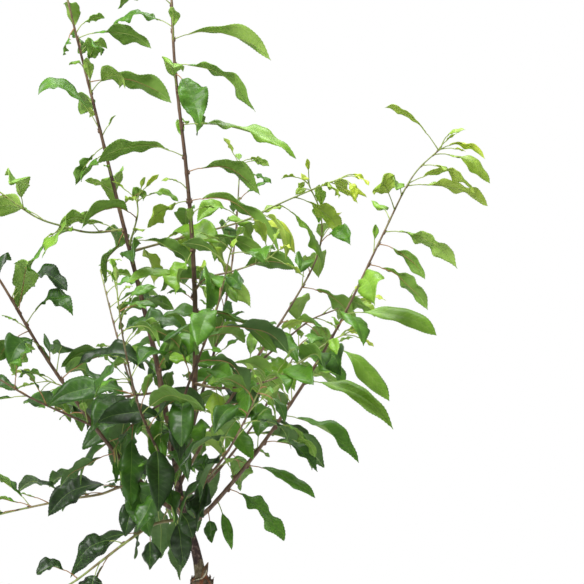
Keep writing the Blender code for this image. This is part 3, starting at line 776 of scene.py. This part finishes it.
def tone(tone_share, tones):
    """The place in a list of tones, oldest first, that a share from 0 to 1 has."""
    return min(len(tones) - 1, max(0, int(tone_share * len(tones))))


def leaf_tone(rng, stem, leaf, extra):
    """Which of the leaf tones a leaf has: fresher towards the tips of fresh shoots, darker low down and
    paler high up, as painted shade and painted light along with the leaves' age.
    """
    height = leaf.root.z
    fresh = FRESHNESS.get(stem.name, USUAL_FRESHNESS) + extra + rng.gauss(0, FRESHNESS_SPREAD)
    fresh += TIP_FRESHNESS * max(0, share_along(stem, leaf.root) - TIP_START) / (1 - TIP_START)
    # painted shade: darker tones low down, along with the older leaves there
    fresh -= PAINTED_SHADE_AND_AGE * max(0, 1 - height / PAINTED_SHADE_TOP)
    # painted light: paler tones high up, along with the younger leaves there
    fresh += PAINTED_LIGHT_AND_YOUTH * min(1, max(0, (height - PAINTED_LIGHT_LEVEL) / PAINTED_LIGHT_DEPTH))
    return tone(fresh, LEAF_TONES)


def young_leaf(rng, point, direction, turn, lengths):
    """A small young leaf, which stands more upright than the grown ones."""
    first = leaving_stem(rng, direction, turn, YOUNG_LEAVING, 0)
    second = (first - UP * rng.uniform(*YOUNG_DROOP)).normalized()
    length = rng.uniform(*lengths)
    roll, twist = rng.uniform(*YOUNG_ROLL), rng.uniform(*YOUNG_ROLL)
    return bent_leaf(point, first, second, roll, twist, length, YOUNG_SLENDERNESS)


def is_in_box(leaf):
    """Whether a leaf keeps to the reach of the solids."""
    low, high = CAD_BOX
    return all(low[i] < point[i] < high[i] for point in (leaf.bend, leaf.tip) for i in range(3))


def young_leaves(crown, stems):
    """(stem, leaf) of the small leaves in the axils and in a tuft at each tip."""
    found = []
    for stem in stems:
        rng = random.Random("young " + stem.name)
        places = [(stem.route.length - k * TUFT_STEP, TUFT_LENGTH) for k in range(TUFT_LEAVES)]
        distance = stem.start + 10 * MM
        while distance < stem.route.length * 0.95:
            if rng.random() < AXIL_SHARE:
                places.append((distance, AXIL_LENGTH))
            distance += LEAF_SPACING * rng.uniform(*LEAF_SPACING_SPREAD)
        for distance, lengths in places:
            point, direction = stem.route.at(distance)
            turn = rng.uniform(0, math.tau)
            tries = (
                young_leaf(rng, point, direction, turn + attempt * YOUNG_TRY_TURN, lengths)
                for attempt in range(TRIES)
            )
            found.append((stem, crown.first_taken(leaf for leaf in tries if is_in_box(leaf))))
    return [(stem, leaf) for stem, leaf in found if leaf]


def leaf_piece(mass, grown, young):
    """All the leaves of one mass as one piece: their blades, given their thickness, and their stalks."""
    sheets = []
    stalks = []
    kinds = [(BLADE_ROWS, 0)] * len(grown) + [(YOUNG_BLADE_ROWS, YOUNG_FRESHNESS)] * len(young)
    for (stem, leaf), (rows, extra) in zip(grown + young, kinds):
        rng = random.Random(f"blade {leaf.root.x:.4f} {leaf.root.z:.4f} {leaf.tip.x:.4f}")
        form = leaf_form(rng, leaf)
        slot = leaf_tone(rng, stem, leaf, extra)
        sheets.append(blade_mesh(leaf, form, rows, slot, RIB_SLOT))
        is_red = slot < RED_STALK_TONES and rng.random() < RED_STALKS
        stalks.append(petiole_mesh(leaf, form, STALK_SLOTS[is_red]))
    sheet = made_object("sheet", gathered(sheets), LEAF_MATERIALS)
    shell = sheet.modifiers.new("thickness", "SOLIDIFY")
    shell.thickness = BLADE_THICKNESS
    shell.offset = -1
    shell.material_offset = UNDERSIDE_SLOT
    shell.material_offset_rim = UNDERSIDE_SLOT
    graph = bpy.context.evaluated_depsgraph_get()
    thick = bpy.data.meshes.new_from_object(sheet.evaluated_get(graph))
    bpy.data.objects.remove(sheet)
    blades = bmesh.new()
    blades.from_mesh(thick)
    add_piece("leaves_" + mass, [blades, *stalks], LEAF_MATERIALS, ["foliage_" + mass])


# ---- the wood ----
def wood_radius(stem, nodes):
    """The radius along a stem, with a collar at its foot and a swelling at each leaf."""
    foot = stem.radius_at(0)

    def radius_at(distance):
        share = distance / stem.route.length
        radius = foot + (FINE_TIP_RADIUS - foot) * share**TAPER
        radius *= 1 + COLLAR_SWELL * math.exp(-((distance / COLLAR_LENGTH) ** 2))
        nearest = min((abs(distance - node) for node in nodes), default=1)
        return radius * (1 + NODE_SWELL * math.exp(-((nearest / NODE_LENGTH) ** 2)))

    return radius_at


def wood_tone(stem, point):
    """Which tone of bark a stem has: brown where it is old, and green where it has just grown."""
    fresh = WOOD_FRESHNESS.get(stem.name, USUAL_WOOD_FRESHNESS)
    fresh += WOOD_TIP_FRESHNESS * share_along(stem, point) ** 4
    return tone(fresh + WOOD_PATCHES * noise.noise(point / WOOD_PATCH_SIZE), WOOD_TONES)


def stem_mesh(stem, nodes):
    """The round, faintly uneven tube of a stem."""
    radius_at = wood_radius(stem, nodes)
    rings = []
    for distance, point, direction, side in stations(stem.route, 0, stem.route.length, WOOD_STEP):
        radius = radius_at(distance) * (1 + UNEVENNESS * noise.noise(point / UNEVENNESS_SIZE))
        rings.append(ring(point, direction, side, radius, WOOD_SIDES))
    bm = swept_mesh(rings)
    for face in bm.faces:
        face.material_index = wood_tone(stem, face.calc_center_median())
    return bm


def bud_part(bm, matrix):
    bmesh.ops.transform(bm, matrix=matrix, verts=bm.verts)
    return painted(bm, BUD_SLOT)


def bud_meshes(point, direction, leaf, radius):
    """The cushion under a leaf's stalk and the pointed bud in its axil."""
    out = leaf.bend - leaf.root
    out = (out - direction * out.dot(direction)).normalized()
    upright = direction.cross(out)
    facing = Matrix((out, upright, direction)).transposed().to_4x4()
    cushion = bmesh.new()
    bmesh.ops.create_uvsphere(cushion, u_segments=7, v_segments=5, radius=1)
    size = Matrix.Diagonal((radius * 0.8, radius * 0.75, CUSHION_LENGTH, 1))
    cushion_place = Matrix.Translation(point + out * radius * 0.8 - direction * CUSHION_DROP)
    bud = bmesh.new()
    bmesh.ops.create_cone(
        bud, cap_ends=True, segments=6, radius1=BUD_RADIUS, radius2=BUD_RADIUS * 0.15, depth=BUD_LENGTH
    )
    lean = Quaternion(upright, BUD_LEAN).to_matrix().to_4x4()
    bud_place = Matrix.Translation(point + out * (radius + BUD_GAP) + direction * BUD_RISE)
    return [bud_part(cushion, cushion_place @ facing @ size), bud_part(bud, bud_place @ lean @ facing)]


def wood_piece(mass, stems, pairs):
    """The wood of one shoot: its limb, its side twigs, and a cushion and a bud at each leaf."""
    shapes = []
    for stem in stems:
        own = [leaf for other, leaf in pairs if other is stem]
        nodes = [share_along(stem, leaf.root) * stem.route.length for leaf in own]
        radius_at = wood_radius(stem, nodes)
        shapes.append(stem_mesh(stem, nodes))
        for node, leaf in zip(nodes, own):
            if leaf.length > AXIL_LENGTH[1] and node > BARE_FOOT:
                shapes += bud_meshes(*stem.route.at(node), leaf, radius_at(node))
    add_piece("wood_" + mass, shapes, WOOD_MATERIALS, ["bough_" + mass])


# ---- the trunk and the graft ----
BARK_SIDES, BARK_STEP, BARK_FULL_RADIUS = 44, 1.8 * MM, 8 * MM
SNAG_SIDES, SNAG_STEP, SNAG_FULL_RADIUS = 16, 1.2 * MM, 4 * MM
CALLUS_SIDES, CALLUS_STEP = 8, 0.9 * MM
STOCK_RADII = (  # (height, radius), as for the scion
    (0, 25), (9, 19.2), (30, 15.6), (75, 13.7), (104, 14), (116, 14.4), (122, 13.6), (126, 11.4), (129, 7),
    (130, 2),
)  # fmt: skip
SCION_RADII = ((104, 7), (126, 7.2), (134, 6.8), (146, 6), (165, 5.5), (209, 5), (251, 4.5), (284, 3.9))
UNION_TOP = 147 * MM  # the scion's bark is smoother and olive below it
RAGGEDNESS, RAG_SIZE = 9 * MM, 6 * MM  # of the edge of that bark
FLARE_RIBS = 5
FLARE_DEPTH = 0.16
FLARE_HEIGHT = 26 * MM
RIDGE_WIDTH = 4.2 * MM  # of the long ridges of the stock's bark
RIDGE_HEIGHT = 0.85 * MM
GRAIN_WIDTH = 1.4 * MM
GRAIN_HEIGHT = 0.28 * MM
STOCK_ROUGHNESS, SCION_ROUGHNESS, SNAG_ROUGHNESS = 1.0, 0.35, 0.6
SNAG = ((-7, -2, 118), (-5, -3.5, 131), (-2.5, -4.5, 139), (0.5, -5, 147))
SNAG_RADII = (5.4, 4.8, 3.4, 0.5)
SNAG_CUT = 131 * MM
FLAKES = 34
FLAKE_RIM, FLAKE_SPREAD = 122 * MM, (-7, 3)  # the level that they stand at
FLAKE_HEIGHT, FLAKE_WIDTH = (3.5, 9.5), (2.2, 5)
FLAKE_CURL, FLAKE_LEAN = (-0.6, 0.45), (-0.35, 0.35)
CALLUS = ((-17, -7, 125), (-12, -8.6, 126.5), (-7, -8.4, 128), (-3, -7.2, 133), (-1, -6, 139))
CALLUS_RADIUS = 1.1 * MM


def radius_from(table, height):
    for (low, low_radius), (high, high_radius) in zip(table, table[1:]):
        if height <= high * MM:
            share = max(0, (height / MM - low) / (high - low))
            return (low_radius + (high_radius - low_radius) * share) * MM
    return table[-1][1] * MM


def bark_relief(point, roughness):
    """How far the bark stands out: long broken ridges, and a finer grain on them."""
    drawn_out = Vector((point.x, point.y, point.z * 0.3))
    ridge = 1 - 2 * abs(noise.noise(drawn_out / RIDGE_WIDTH))
    grain = noise.noise(Vector((point.x, point.y, point.z * 1.6)) / GRAIN_WIDTH)
    return roughness * (RIDGE_HEIGHT * (ridge - 0.5) + GRAIN_HEIGHT * grain)


def bark_ring(point, direction, side, radius, sides, roughness, full_radius):
    """A ring of corners with the bark's relief, which is less on a limb thinner than full_radius."""
    corners = ring(point, direction, side, radius, sides)
    depth = min(1, radius / full_radius)
    return [c + (c - point).normalized() * bark_relief(c, roughness) * depth for c in corners]


def bark_mesh(route, start, end, radii, roughness, flare, slot):
    """A length of the trunk with its bark."""
    rings = []
    for distance, point, direction, side in stations(route, start, end, BARK_STEP):
        upright = UP if distance == 0 else direction
        radius = radius_from(radii, point.z)
        corners = bark_ring(point, upright, side, radius, BARK_SIDES, roughness, BARK_FULL_RADIUS)
        swell = flare * math.exp(-point.z / FLARE_HEIGHT)
        for k, corner in enumerate(corners):
            rib = swell * math.cos(FLARE_RIBS * math.tau * k / BARK_SIDES)
            corner += (corner - point).normalized() * radius * rib
            if distance == 0:
                corner.z = 0
        rings.append(corners)
    bm = swept_mesh(rings)
    for face in bm.faces:
        middle = face.calc_center_median()
        ragged = RAGGEDNESS * noise.noise(middle / RAG_SIZE)
        in_union = slot == SCION_SLOT and middle.z + ragged < UNION_TOP
        face.material_index = UNION_SLOT if in_union else slot
    return bm


def flake_mesh(rng, trunk):
    """A ragged tongue of bark on the rim of the stock, curling off it."""
    turn = rng.uniform(0, math.tau)
    out = Vector((math.cos(turn), math.sin(turn), 0))
    across = out.cross(UP)
    height = FLAKE_RIM + rng.uniform(*FLAKE_SPREAD) * MM
    root = trunk.at(height)[0] + out * (radius_from(STOCK_RADII, height) - 0.8 * MM)
    tall = rng.uniform(*FLAKE_HEIGHT) * MM
    wide = rng.uniform(*FLAKE_WIDTH) * MM
    curl = rng.uniform(*FLAKE_CURL)
    lean = rng.uniform(*FLAKE_LEAN)
    rings = []
    for step in range(6):
        share = step / 5
        centre = root + UP * tall * share + (out * curl * share**2 + across * lean * share) * tall
        half = across * wide / 2 * (1 - 0.75 * share**2) * rng.uniform(0.85, 1.1)
        skin = out * (0.55 - 0.3 * share) * MM
        corners = (half + skin, skin - half, -half - skin, half - skin)
        rings.append([centre + corner for corner in corners])
    return painted(swept_mesh(rings), STOCK_SLOT)


def snag_mesh():
    """The cut end of the stock's own stem, pointed, with its wood bare on the side towards the scion."""
    route = Route(in_metres(SNAG))
    rings = []
    for distance, point, direction, side in stations(route, 0, route.length, SNAG_STEP):
        share = distance / route.length * (len(SNAG_RADII) - 1)
        low = min(int(share), len(SNAG_RADII) - 2)
        radius = (SNAG_RADII[low] + (SNAG_RADII[low + 1] - SNAG_RADII[low]) * (share - low)) * MM
        corners = bark_ring(point, direction, side, radius, SNAG_SIDES, SNAG_ROUGHNESS, SNAG_FULL_RADIUS)
        rings.append(corners)
    bm = swept_mesh(rings)
    for face in bm.faces:
        towards_scion = face.normal.x < -0.2 or face.normal.z > 0.75
        is_cut = towards_scion and face.calc_center_median().z > SNAG_CUT
        face.material_index = WOOD_SLOT if is_cut else STOCK_SLOT
    return bm


def callus_mesh():
    """The pale lip of new wood where stock and scion have grown together."""
    route = Route(in_metres(CALLUS))
    rings = []
    for distance, point, direction, side in stations(route, 0, route.length, CALLUS_STEP):
        radius = CALLUS_RADIUS * (0.35 + 0.65 * math.sin(math.pi * (distance / route.length)))
        radius *= 1 + 0.5 * noise.noise(point / (1.5 * MM))
        rings.append(ring(point, direction, side, radius, CALLUS_SIDES))
    return painted(swept_mesh(rings), CALLUS_SLOT)


def trunk_piece():
    route = Route(in_metres(TRUNK_AXIS))
    rim = route.distance_at_height(STOCK_RADII[-1][0] * MM)
    foot = SCION_RADII[0][0] * MM  # inside the stock
    rng = random.Random("bark flakes")
    shapes = [
        bark_mesh(route, 0, rim, STOCK_RADII, STOCK_ROUGHNESS, FLARE_DEPTH, STOCK_SLOT),
        bark_mesh(route, foot, route.length, SCION_RADII, SCION_ROUGHNESS, 0, SCION_SLOT),
        snag_mesh(),
        callus_mesh(),
        *[flake_mesh(rng, route) for _ in range(FLAKES)],
    ]
    add_piece("bark_trunk", shapes, TRUNK_MATERIALS, ["trunk"])


# ---- finishes ----
def linear(colour):
    """An sRGB hex colour as linear RGBA."""
    shares = [int(colour[i : i + 2], 16) / 255 for i in (1, 3, 5)]
    return (*[s / 12.92 if s <= 0.04045 else ((s + 0.055) / 1.055) ** 2.4 for s in shares], 1)


def add(tree, kind, inputs, **settings):
    """A node, with its settings, and its inputs as values or as the sockets that feed them."""
    made = tree.nodes.new(kind)
    for name, value in settings.items():
        setattr(made, name, value)
    for name, value in inputs.items():
        if isinstance(value, bpy.types.NodeSocket):
            tree.links.new(value, made.inputs[name])
        else:
            made.inputs[name].default_value = value
    return made


LIGHT_REACH = 0.6 * MM  # how far light runs in a leaf
LEAF_CLOUD_SIZE = 14 * MM
VEIN_EDGE = 0.42  # where a vein begins, from the middle between two at 0 to its own middle at 0.5
VEIN_FADE = (0.95, 0.3)  # shares of the half width between which the veins come in
VEIN_STRENGTH = 0.42
PIT_SIZE, PIT_DEPTH = 3.5 * MM, 0.25 * MM
BARK_GRAIN_SIZE = 0.9 * MM


def finish(name, roughness, subsurface=0.0):
    """(material, its node tree, its shader, its Object coordinates)"""
    material = bpy.data.materials.new(name)
    material.use_nodes = True
    tree = material.node_tree
    shader = tree.nodes["Principled BSDF"]
    shader.inputs["Roughness"].default_value = roughness
    shader.inputs["Subsurface Weight"].default_value = subsurface
    shader.inputs["Subsurface Radius"].default_value = (1, 1, 1)
    shader.inputs["Subsurface Scale"].default_value = LIGHT_REACH
    place = add(tree, "ShaderNodeTexCoord", {}).outputs["Object"]
    return material, tree, shader, place


def ramp(tree, factor, stops):
    """Colours from a factor, as (place, hex colour) stops."""
    made = add(tree, "ShaderNodeValToRGB", {"Fac": factor})
    elements = made.color_ramp.elements
    while len(elements) < len(stops):
        elements.new(1.0)
    for element, (place, colour) in zip(elements, stops):
        element.position = place
        element.color = linear(colour)
    return made.outputs["Color"]


def noise_in(tree, place, size, detail, roughness=0.5):
    """Noise in clouds of a size."""
    inputs = {"Vector": place, "Scale": 1 / size, "Detail": detail, "Roughness": roughness}
    return add(tree, "ShaderNodeTexNoise", inputs).outputs["Fac"]


def maths(tree, operation, *values):
    return add(tree, "ShaderNodeMath", dict(enumerate(values)), operation=operation).outputs["Value"]


def in_range(tree, value, low, high, most=1.0):
    """A value as a share of the way from low to high, times most."""
    inputs = {"Value": value, "From Min": low, "From Max": high, "To Max": most}
    return add(tree, "ShaderNodeMapRange", inputs).outputs["Result"]


def roughen(tree, shader, height, strength, depth):
    bump = add(tree, "ShaderNodeBump", {"Height": height, "Strength": strength, "Distance": depth})
    tree.links.new(bump.outputs["Normal"], shader.inputs["Normal"])


def leaf_finish(name, shades, vein_colour, roughness, shine):
    """Living leaf: a waxy skin over green tissue, in clouds of colour, with paler side veins that fade."""
    material, tree, shader, place = finish(name, roughness, 0.5)
    shader.inputs["Specular IOR Level"].default_value = shine
    clouds = noise_in(tree, place, LEAF_CLOUD_SIZE, 4.0, 0.55)
    tissue = ramp(tree, clouds, [(0.3, shades[0]), (0.7, shades[1])])
    veins = add(tree, "ShaderNodeUVMap", {}, uv_map=UV_NAME).outputs["UV"]
    parts = add(tree, "ShaderNodeSeparateXYZ", {"Vector": veins}).outputs
    off_middle = maths(tree, "SUBTRACT", maths(tree, "FRACT", parts["X"]), 0.5)
    line = in_range(tree, maths(tree, "ABSOLUTE", off_middle), VEIN_EDGE, 0.5)
    fade = in_range(tree, parts["Y"], *VEIN_FADE, VEIN_STRENGTH)
    colours = {"Factor": maths(tree, "MULTIPLY", line, fade), 6: tissue, 7: linear(vein_colour)}
    mixed = add(tree, "ShaderNodeMix", colours, data_type="RGBA")
    tree.links.new(mixed.outputs[2], shader.inputs["Base Color"])
    roughen(tree, shader, noise_in(tree, place, PIT_SIZE, 2.0), 0.35, PIT_DEPTH)
    return material


def bark_finish(name, stops, scale, stretch, roughness, depth):
    """Bark: its colours lie in patches drawn out along or across the stem, and its grain is rough."""
    material, tree, shader, place = finish(name, roughness)
    drawn = add(tree, "ShaderNodeMapping", {"Vector": place, "Scale": (1, 1, stretch)}).outputs["Vector"]
    patches = ramp(tree, noise_in(tree, drawn, scale, 6.0, 0.62), stops)
    tree.links.new(patches, shader.inputs["Base Color"])
    roughen(tree, shader, noise_in(tree, drawn, BARK_GRAIN_SIZE, 4.0), 0.7, depth)
    return material


# Each tone of leaf, oldest first: the colours of its face, of its paler underside and of its veins. The
# deepest tone's face is darker than a leaf's own green, as painted shade.
LEAF_TONES = (
    # darker than a leaf's own green: painted shade for the low, inner leaves
    ("deep", ("#17300b", "#2a4b15"), ("#4c6c36", "#5c7d41"), "#4f7238"),
    ("dark", ("#2a5110", "#406e15"), ("#618636", "#72983f"), "#658a38"),
    ("middle", ("#487817", "#5f9422"), ("#799f45", "#8aaf4d"), "#82a648"),
    ("bright", ("#6d9a22", "#86b336"), ("#92b454", "#a4c35e"), "#a8c463"),
    ("light", ("#88aa2e", "#9fbf3e"), ("#a2bb4a", "#b2ca57"), "#bdd26c"),
    ("young", ("#b0c631", "#c9db42"), ("#c1d44e", "#cfdf5e"), "#dbe77c"),
)
RIB_SLOT = len(LEAF_TONES)
UNDERSIDE_SLOT = RIB_SLOT + 1
STALK_SLOTS = (UNDERSIDE_SLOT * 2, UNDERSIDE_SLOT * 2 + 1)
LEAF_MATERIALS = [
    # faces with a soft gloss, and a paler rib that lies in each
    *[leaf_finish(f"waxy_leaf_face_{name}", face, vein, 0.42, 0.5) for name, face, _, vein in LEAF_TONES],
    leaf_finish("leaf_midrib", ("#66873b", "#7a9a49"), "#7a9a49", 0.45, 0.4),
    # dull, paler undersides, on which the rib stands out nearly white
    *[
        leaf_finish(f"matt_leaf_underside_{name}", under, vein, 0.55, 0.3)
        for name, _, under, vein in LEAF_TONES
    ],
    leaf_finish("leaf_midrib_underside", ("#a5be72", "#b3c982"), "#b3c982", 0.5, 0.3),
    # smooth stalks, yellow-green or flushed with red
    leaf_finish("green_leaf_stalk", ("#93a552", "#a6b764"), "#a6b764", 0.45, 0.4),
    leaf_finish("red_leaf_stalk", ("#9c6f4c", "#ac8659"), "#ac8659", 0.45, 0.4),
]

# Each tone of shoot bark, oldest first.
WOOD_TONES = (
    ("old", ((0.3, "#33231d"), (0.48, "#523b30"), (0.6, "#6d5745"), (0.76, "#8f7a62"))),
    ("brown", ((0.3, "#4c362b"), (0.5, "#674e3c"), (0.72, "#89705a"))),
    ("tan", ((0.3, "#644c38"), (0.5, "#7c644a"), (0.72, "#968066"))),
    ("olive", ((0.3, "#716443"), (0.5, "#857a50"), (0.72, "#9c9468"))),
    ("green", ((0.3, "#7d8a4a"), (0.5, "#8f9c58"), (0.72, "#a6b070"))),
    ("fresh", ((0.3, "#97ab50"), (0.5, "#a9bb5e"), (0.72, "#bccb74"))),
)
BUD_SLOT = len(WOOD_TONES)
BUD_SHADES = ((0.3, "#4a3226"), (0.5, "#664a38"), (0.72, "#8a6d52"))
WOOD_MATERIALS = [
    # bark that shines a little, in long patches
    *[
        bark_finish(f"smooth_shoot_bark_{name}", stops, 7 * MM, 0.35, 0.42, 0.12 * MM)
        for name, stops in WOOD_TONES
    ],
    # brown scales, finely mottled
    bark_finish("bud_scale", BUD_SHADES, 2 * MM, 1, 0.5, 0.1 * MM),
]
# Each surface of the trunk: its name, its shades, the size of its patches and how much they are drawn out
# along the trunk, its roughness, and how deep its grain is.
TRUNK_SURFACES = (
    # old bark in dull brown ridges, with grey and rusty plates
    ("rough_stock_bark", (
        (0.28, "#241913"), (0.4, "#4d3c2d"), (0.5, "#6f6350"), (0.57, "#94532f"), (0.65, "#633c35"),
        (0.76, "#998a78")), 6 * MM, 0.5, 0.85, 0.5 * MM),
    # dark red-brown bark, with pale scales
    ("scaly_scion_bark", (
        (0.3, "#190d0c"), (0.45, "#33201d"), (0.55, "#4d3833"), (0.62, "#766359"), (0.72, "#ab9c92")),
        3 * MM, 0.55, 0.7, 0.3 * MM),
    # bare wood gone brown, drawn out along its grain
    ("weathered_cut_wood", (
        (0.3, "#553b26"), (0.5, "#80603f"), (0.72, "#a58d6b")), 3 * MM, 0.2, 0.8, 0.3 * MM),
    # pale, corky new wood
    ("callus", (
        (0.3, "#b9ac8d"), (0.5, "#d6ccb2"), (0.72, "#ece6d4")), 2 * MM, 1, 0.7, 0.3 * MM),
    # grey-olive bark, smoother than the stock's
    ("olive_union_bark", (
        (0.3, "#382e20"), (0.46, "#62563f"), (0.58, "#83785f"), (0.72, "#aaa08a")),
        3 * MM, 0.5, 0.75, 0.3 * MM),
)  # fmt: skip
STOCK_SLOT, SCION_SLOT, WOOD_SLOT, CALLUS_SLOT, UNION_SLOT = range(len(TRUNK_SURFACES))
TRUNK_MATERIALS = [bark_finish(*surface) for surface in TRUNK_SURFACES]


# ---- the tree ----
def solid_crown():
    """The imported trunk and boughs, against which the leaves are tested as they grow."""
    crown = Crown()
    for name, solid in sorted(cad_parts.items()):
        if name == "trunk" or name.startswith("bough_"):
            bm = bmesh.new()
            bm.from_mesh(solid.data)
            crown.add(bm)
    return crown


def grow_tree():
    crown = solid_crown()
    stems = grown_stems()
    for stem in stems:
        crown.add(swept_mesh(stem_rings(stem)))
    grown = grown_leaves(crown, stems)
    young = young_leaves(crown, stems)
    for shoot in SHOOTS:
        own_young = [pair for pair in young if pair[0].mass == shoot.name]
        leaf_piece(shoot.name, grown[shoot.name], own_young)
        own_stems = [stem for stem in stems if stem.mass == shoot.name]
        wood_piece(shoot.name, own_stems, grown[shoot.name])


# ---- the studio ----
CAMERA_PLACE = (100.8, -1946.7, 470.4)  # level, facing +Y
CAMERA_LENS = 100
FLOOR_RADIUS = 640 * MM
LIGHTS = (("key", (-1.3, -1.5, 2.1), 1.1, 68), ("top", (0.2, 0.3, 2.4), 1.6, 45))  # place, size in m, watts
LIGHT_AIM = (0, 0, 0.5)
SKY_STRENGTH = 0.4  # where it lights the tree


def add_floor():
    """A round table top of white laminate, matt, on which the shade is soft."""
    bm = bmesh.new()
    bmesh.ops.create_circle(bm, cap_ends=True, segments=96, radius=FLOOR_RADIUS)
    material, _, shader, _ = finish("white_matt_laminate", 0.6)
    shader.inputs["Base Color"].default_value = linear("#f6f6f4")
    floor = made_object("floor", bm, [material])


def add_light(name, place, size, power):
    light = bpy.data.lights.new(name, "AREA")
    light.shape = "DISK"
    light.size = size
    light.energy = power
    facing = (Vector(LIGHT_AIM) - Vector(place)).to_track_quat("-Z", "Y").to_euler()
    linked(name, light, place, facing)


def add_camera():
    camera = bpy.data.cameras.new("camera")
    camera.lens = CAMERA_LENS
    bpy.context.scene.camera = linked("camera", camera, Vector(CAMERA_PLACE) * MM, (math.pi / 2, 0, 0))


def add_sky():
    """White all round: full white where it shows, softer where it lights the tree."""
    world = bpy.data.worlds.new("studio")
    world.use_nodes = True
    tree = world.node_tree
    tree.nodes.clear()
    seen = add(tree, "ShaderNodeLightPath", {}).outputs["Is Camera Ray"]
    strength = add(tree, "ShaderNodeMapRange", {"Value": seen, "To Min": SKY_STRENGTH}).outputs["Result"]
    white = add(tree, "ShaderNodeBackground", {"Color": linear("#ffffff"), "Strength": strength})
    add(tree, "ShaderNodeOutputWorld", {"Surface": white.outputs["Background"]})
    bpy.context.scene.world = world


def main():
    grow_tree()
    trunk_piece()
    add_floor()
    for light in LIGHTS:
        add_light(*light)
    add_camera()
    add_sky()
    bpy.context.scene.view_settings.view_transform = "Standard"


main()
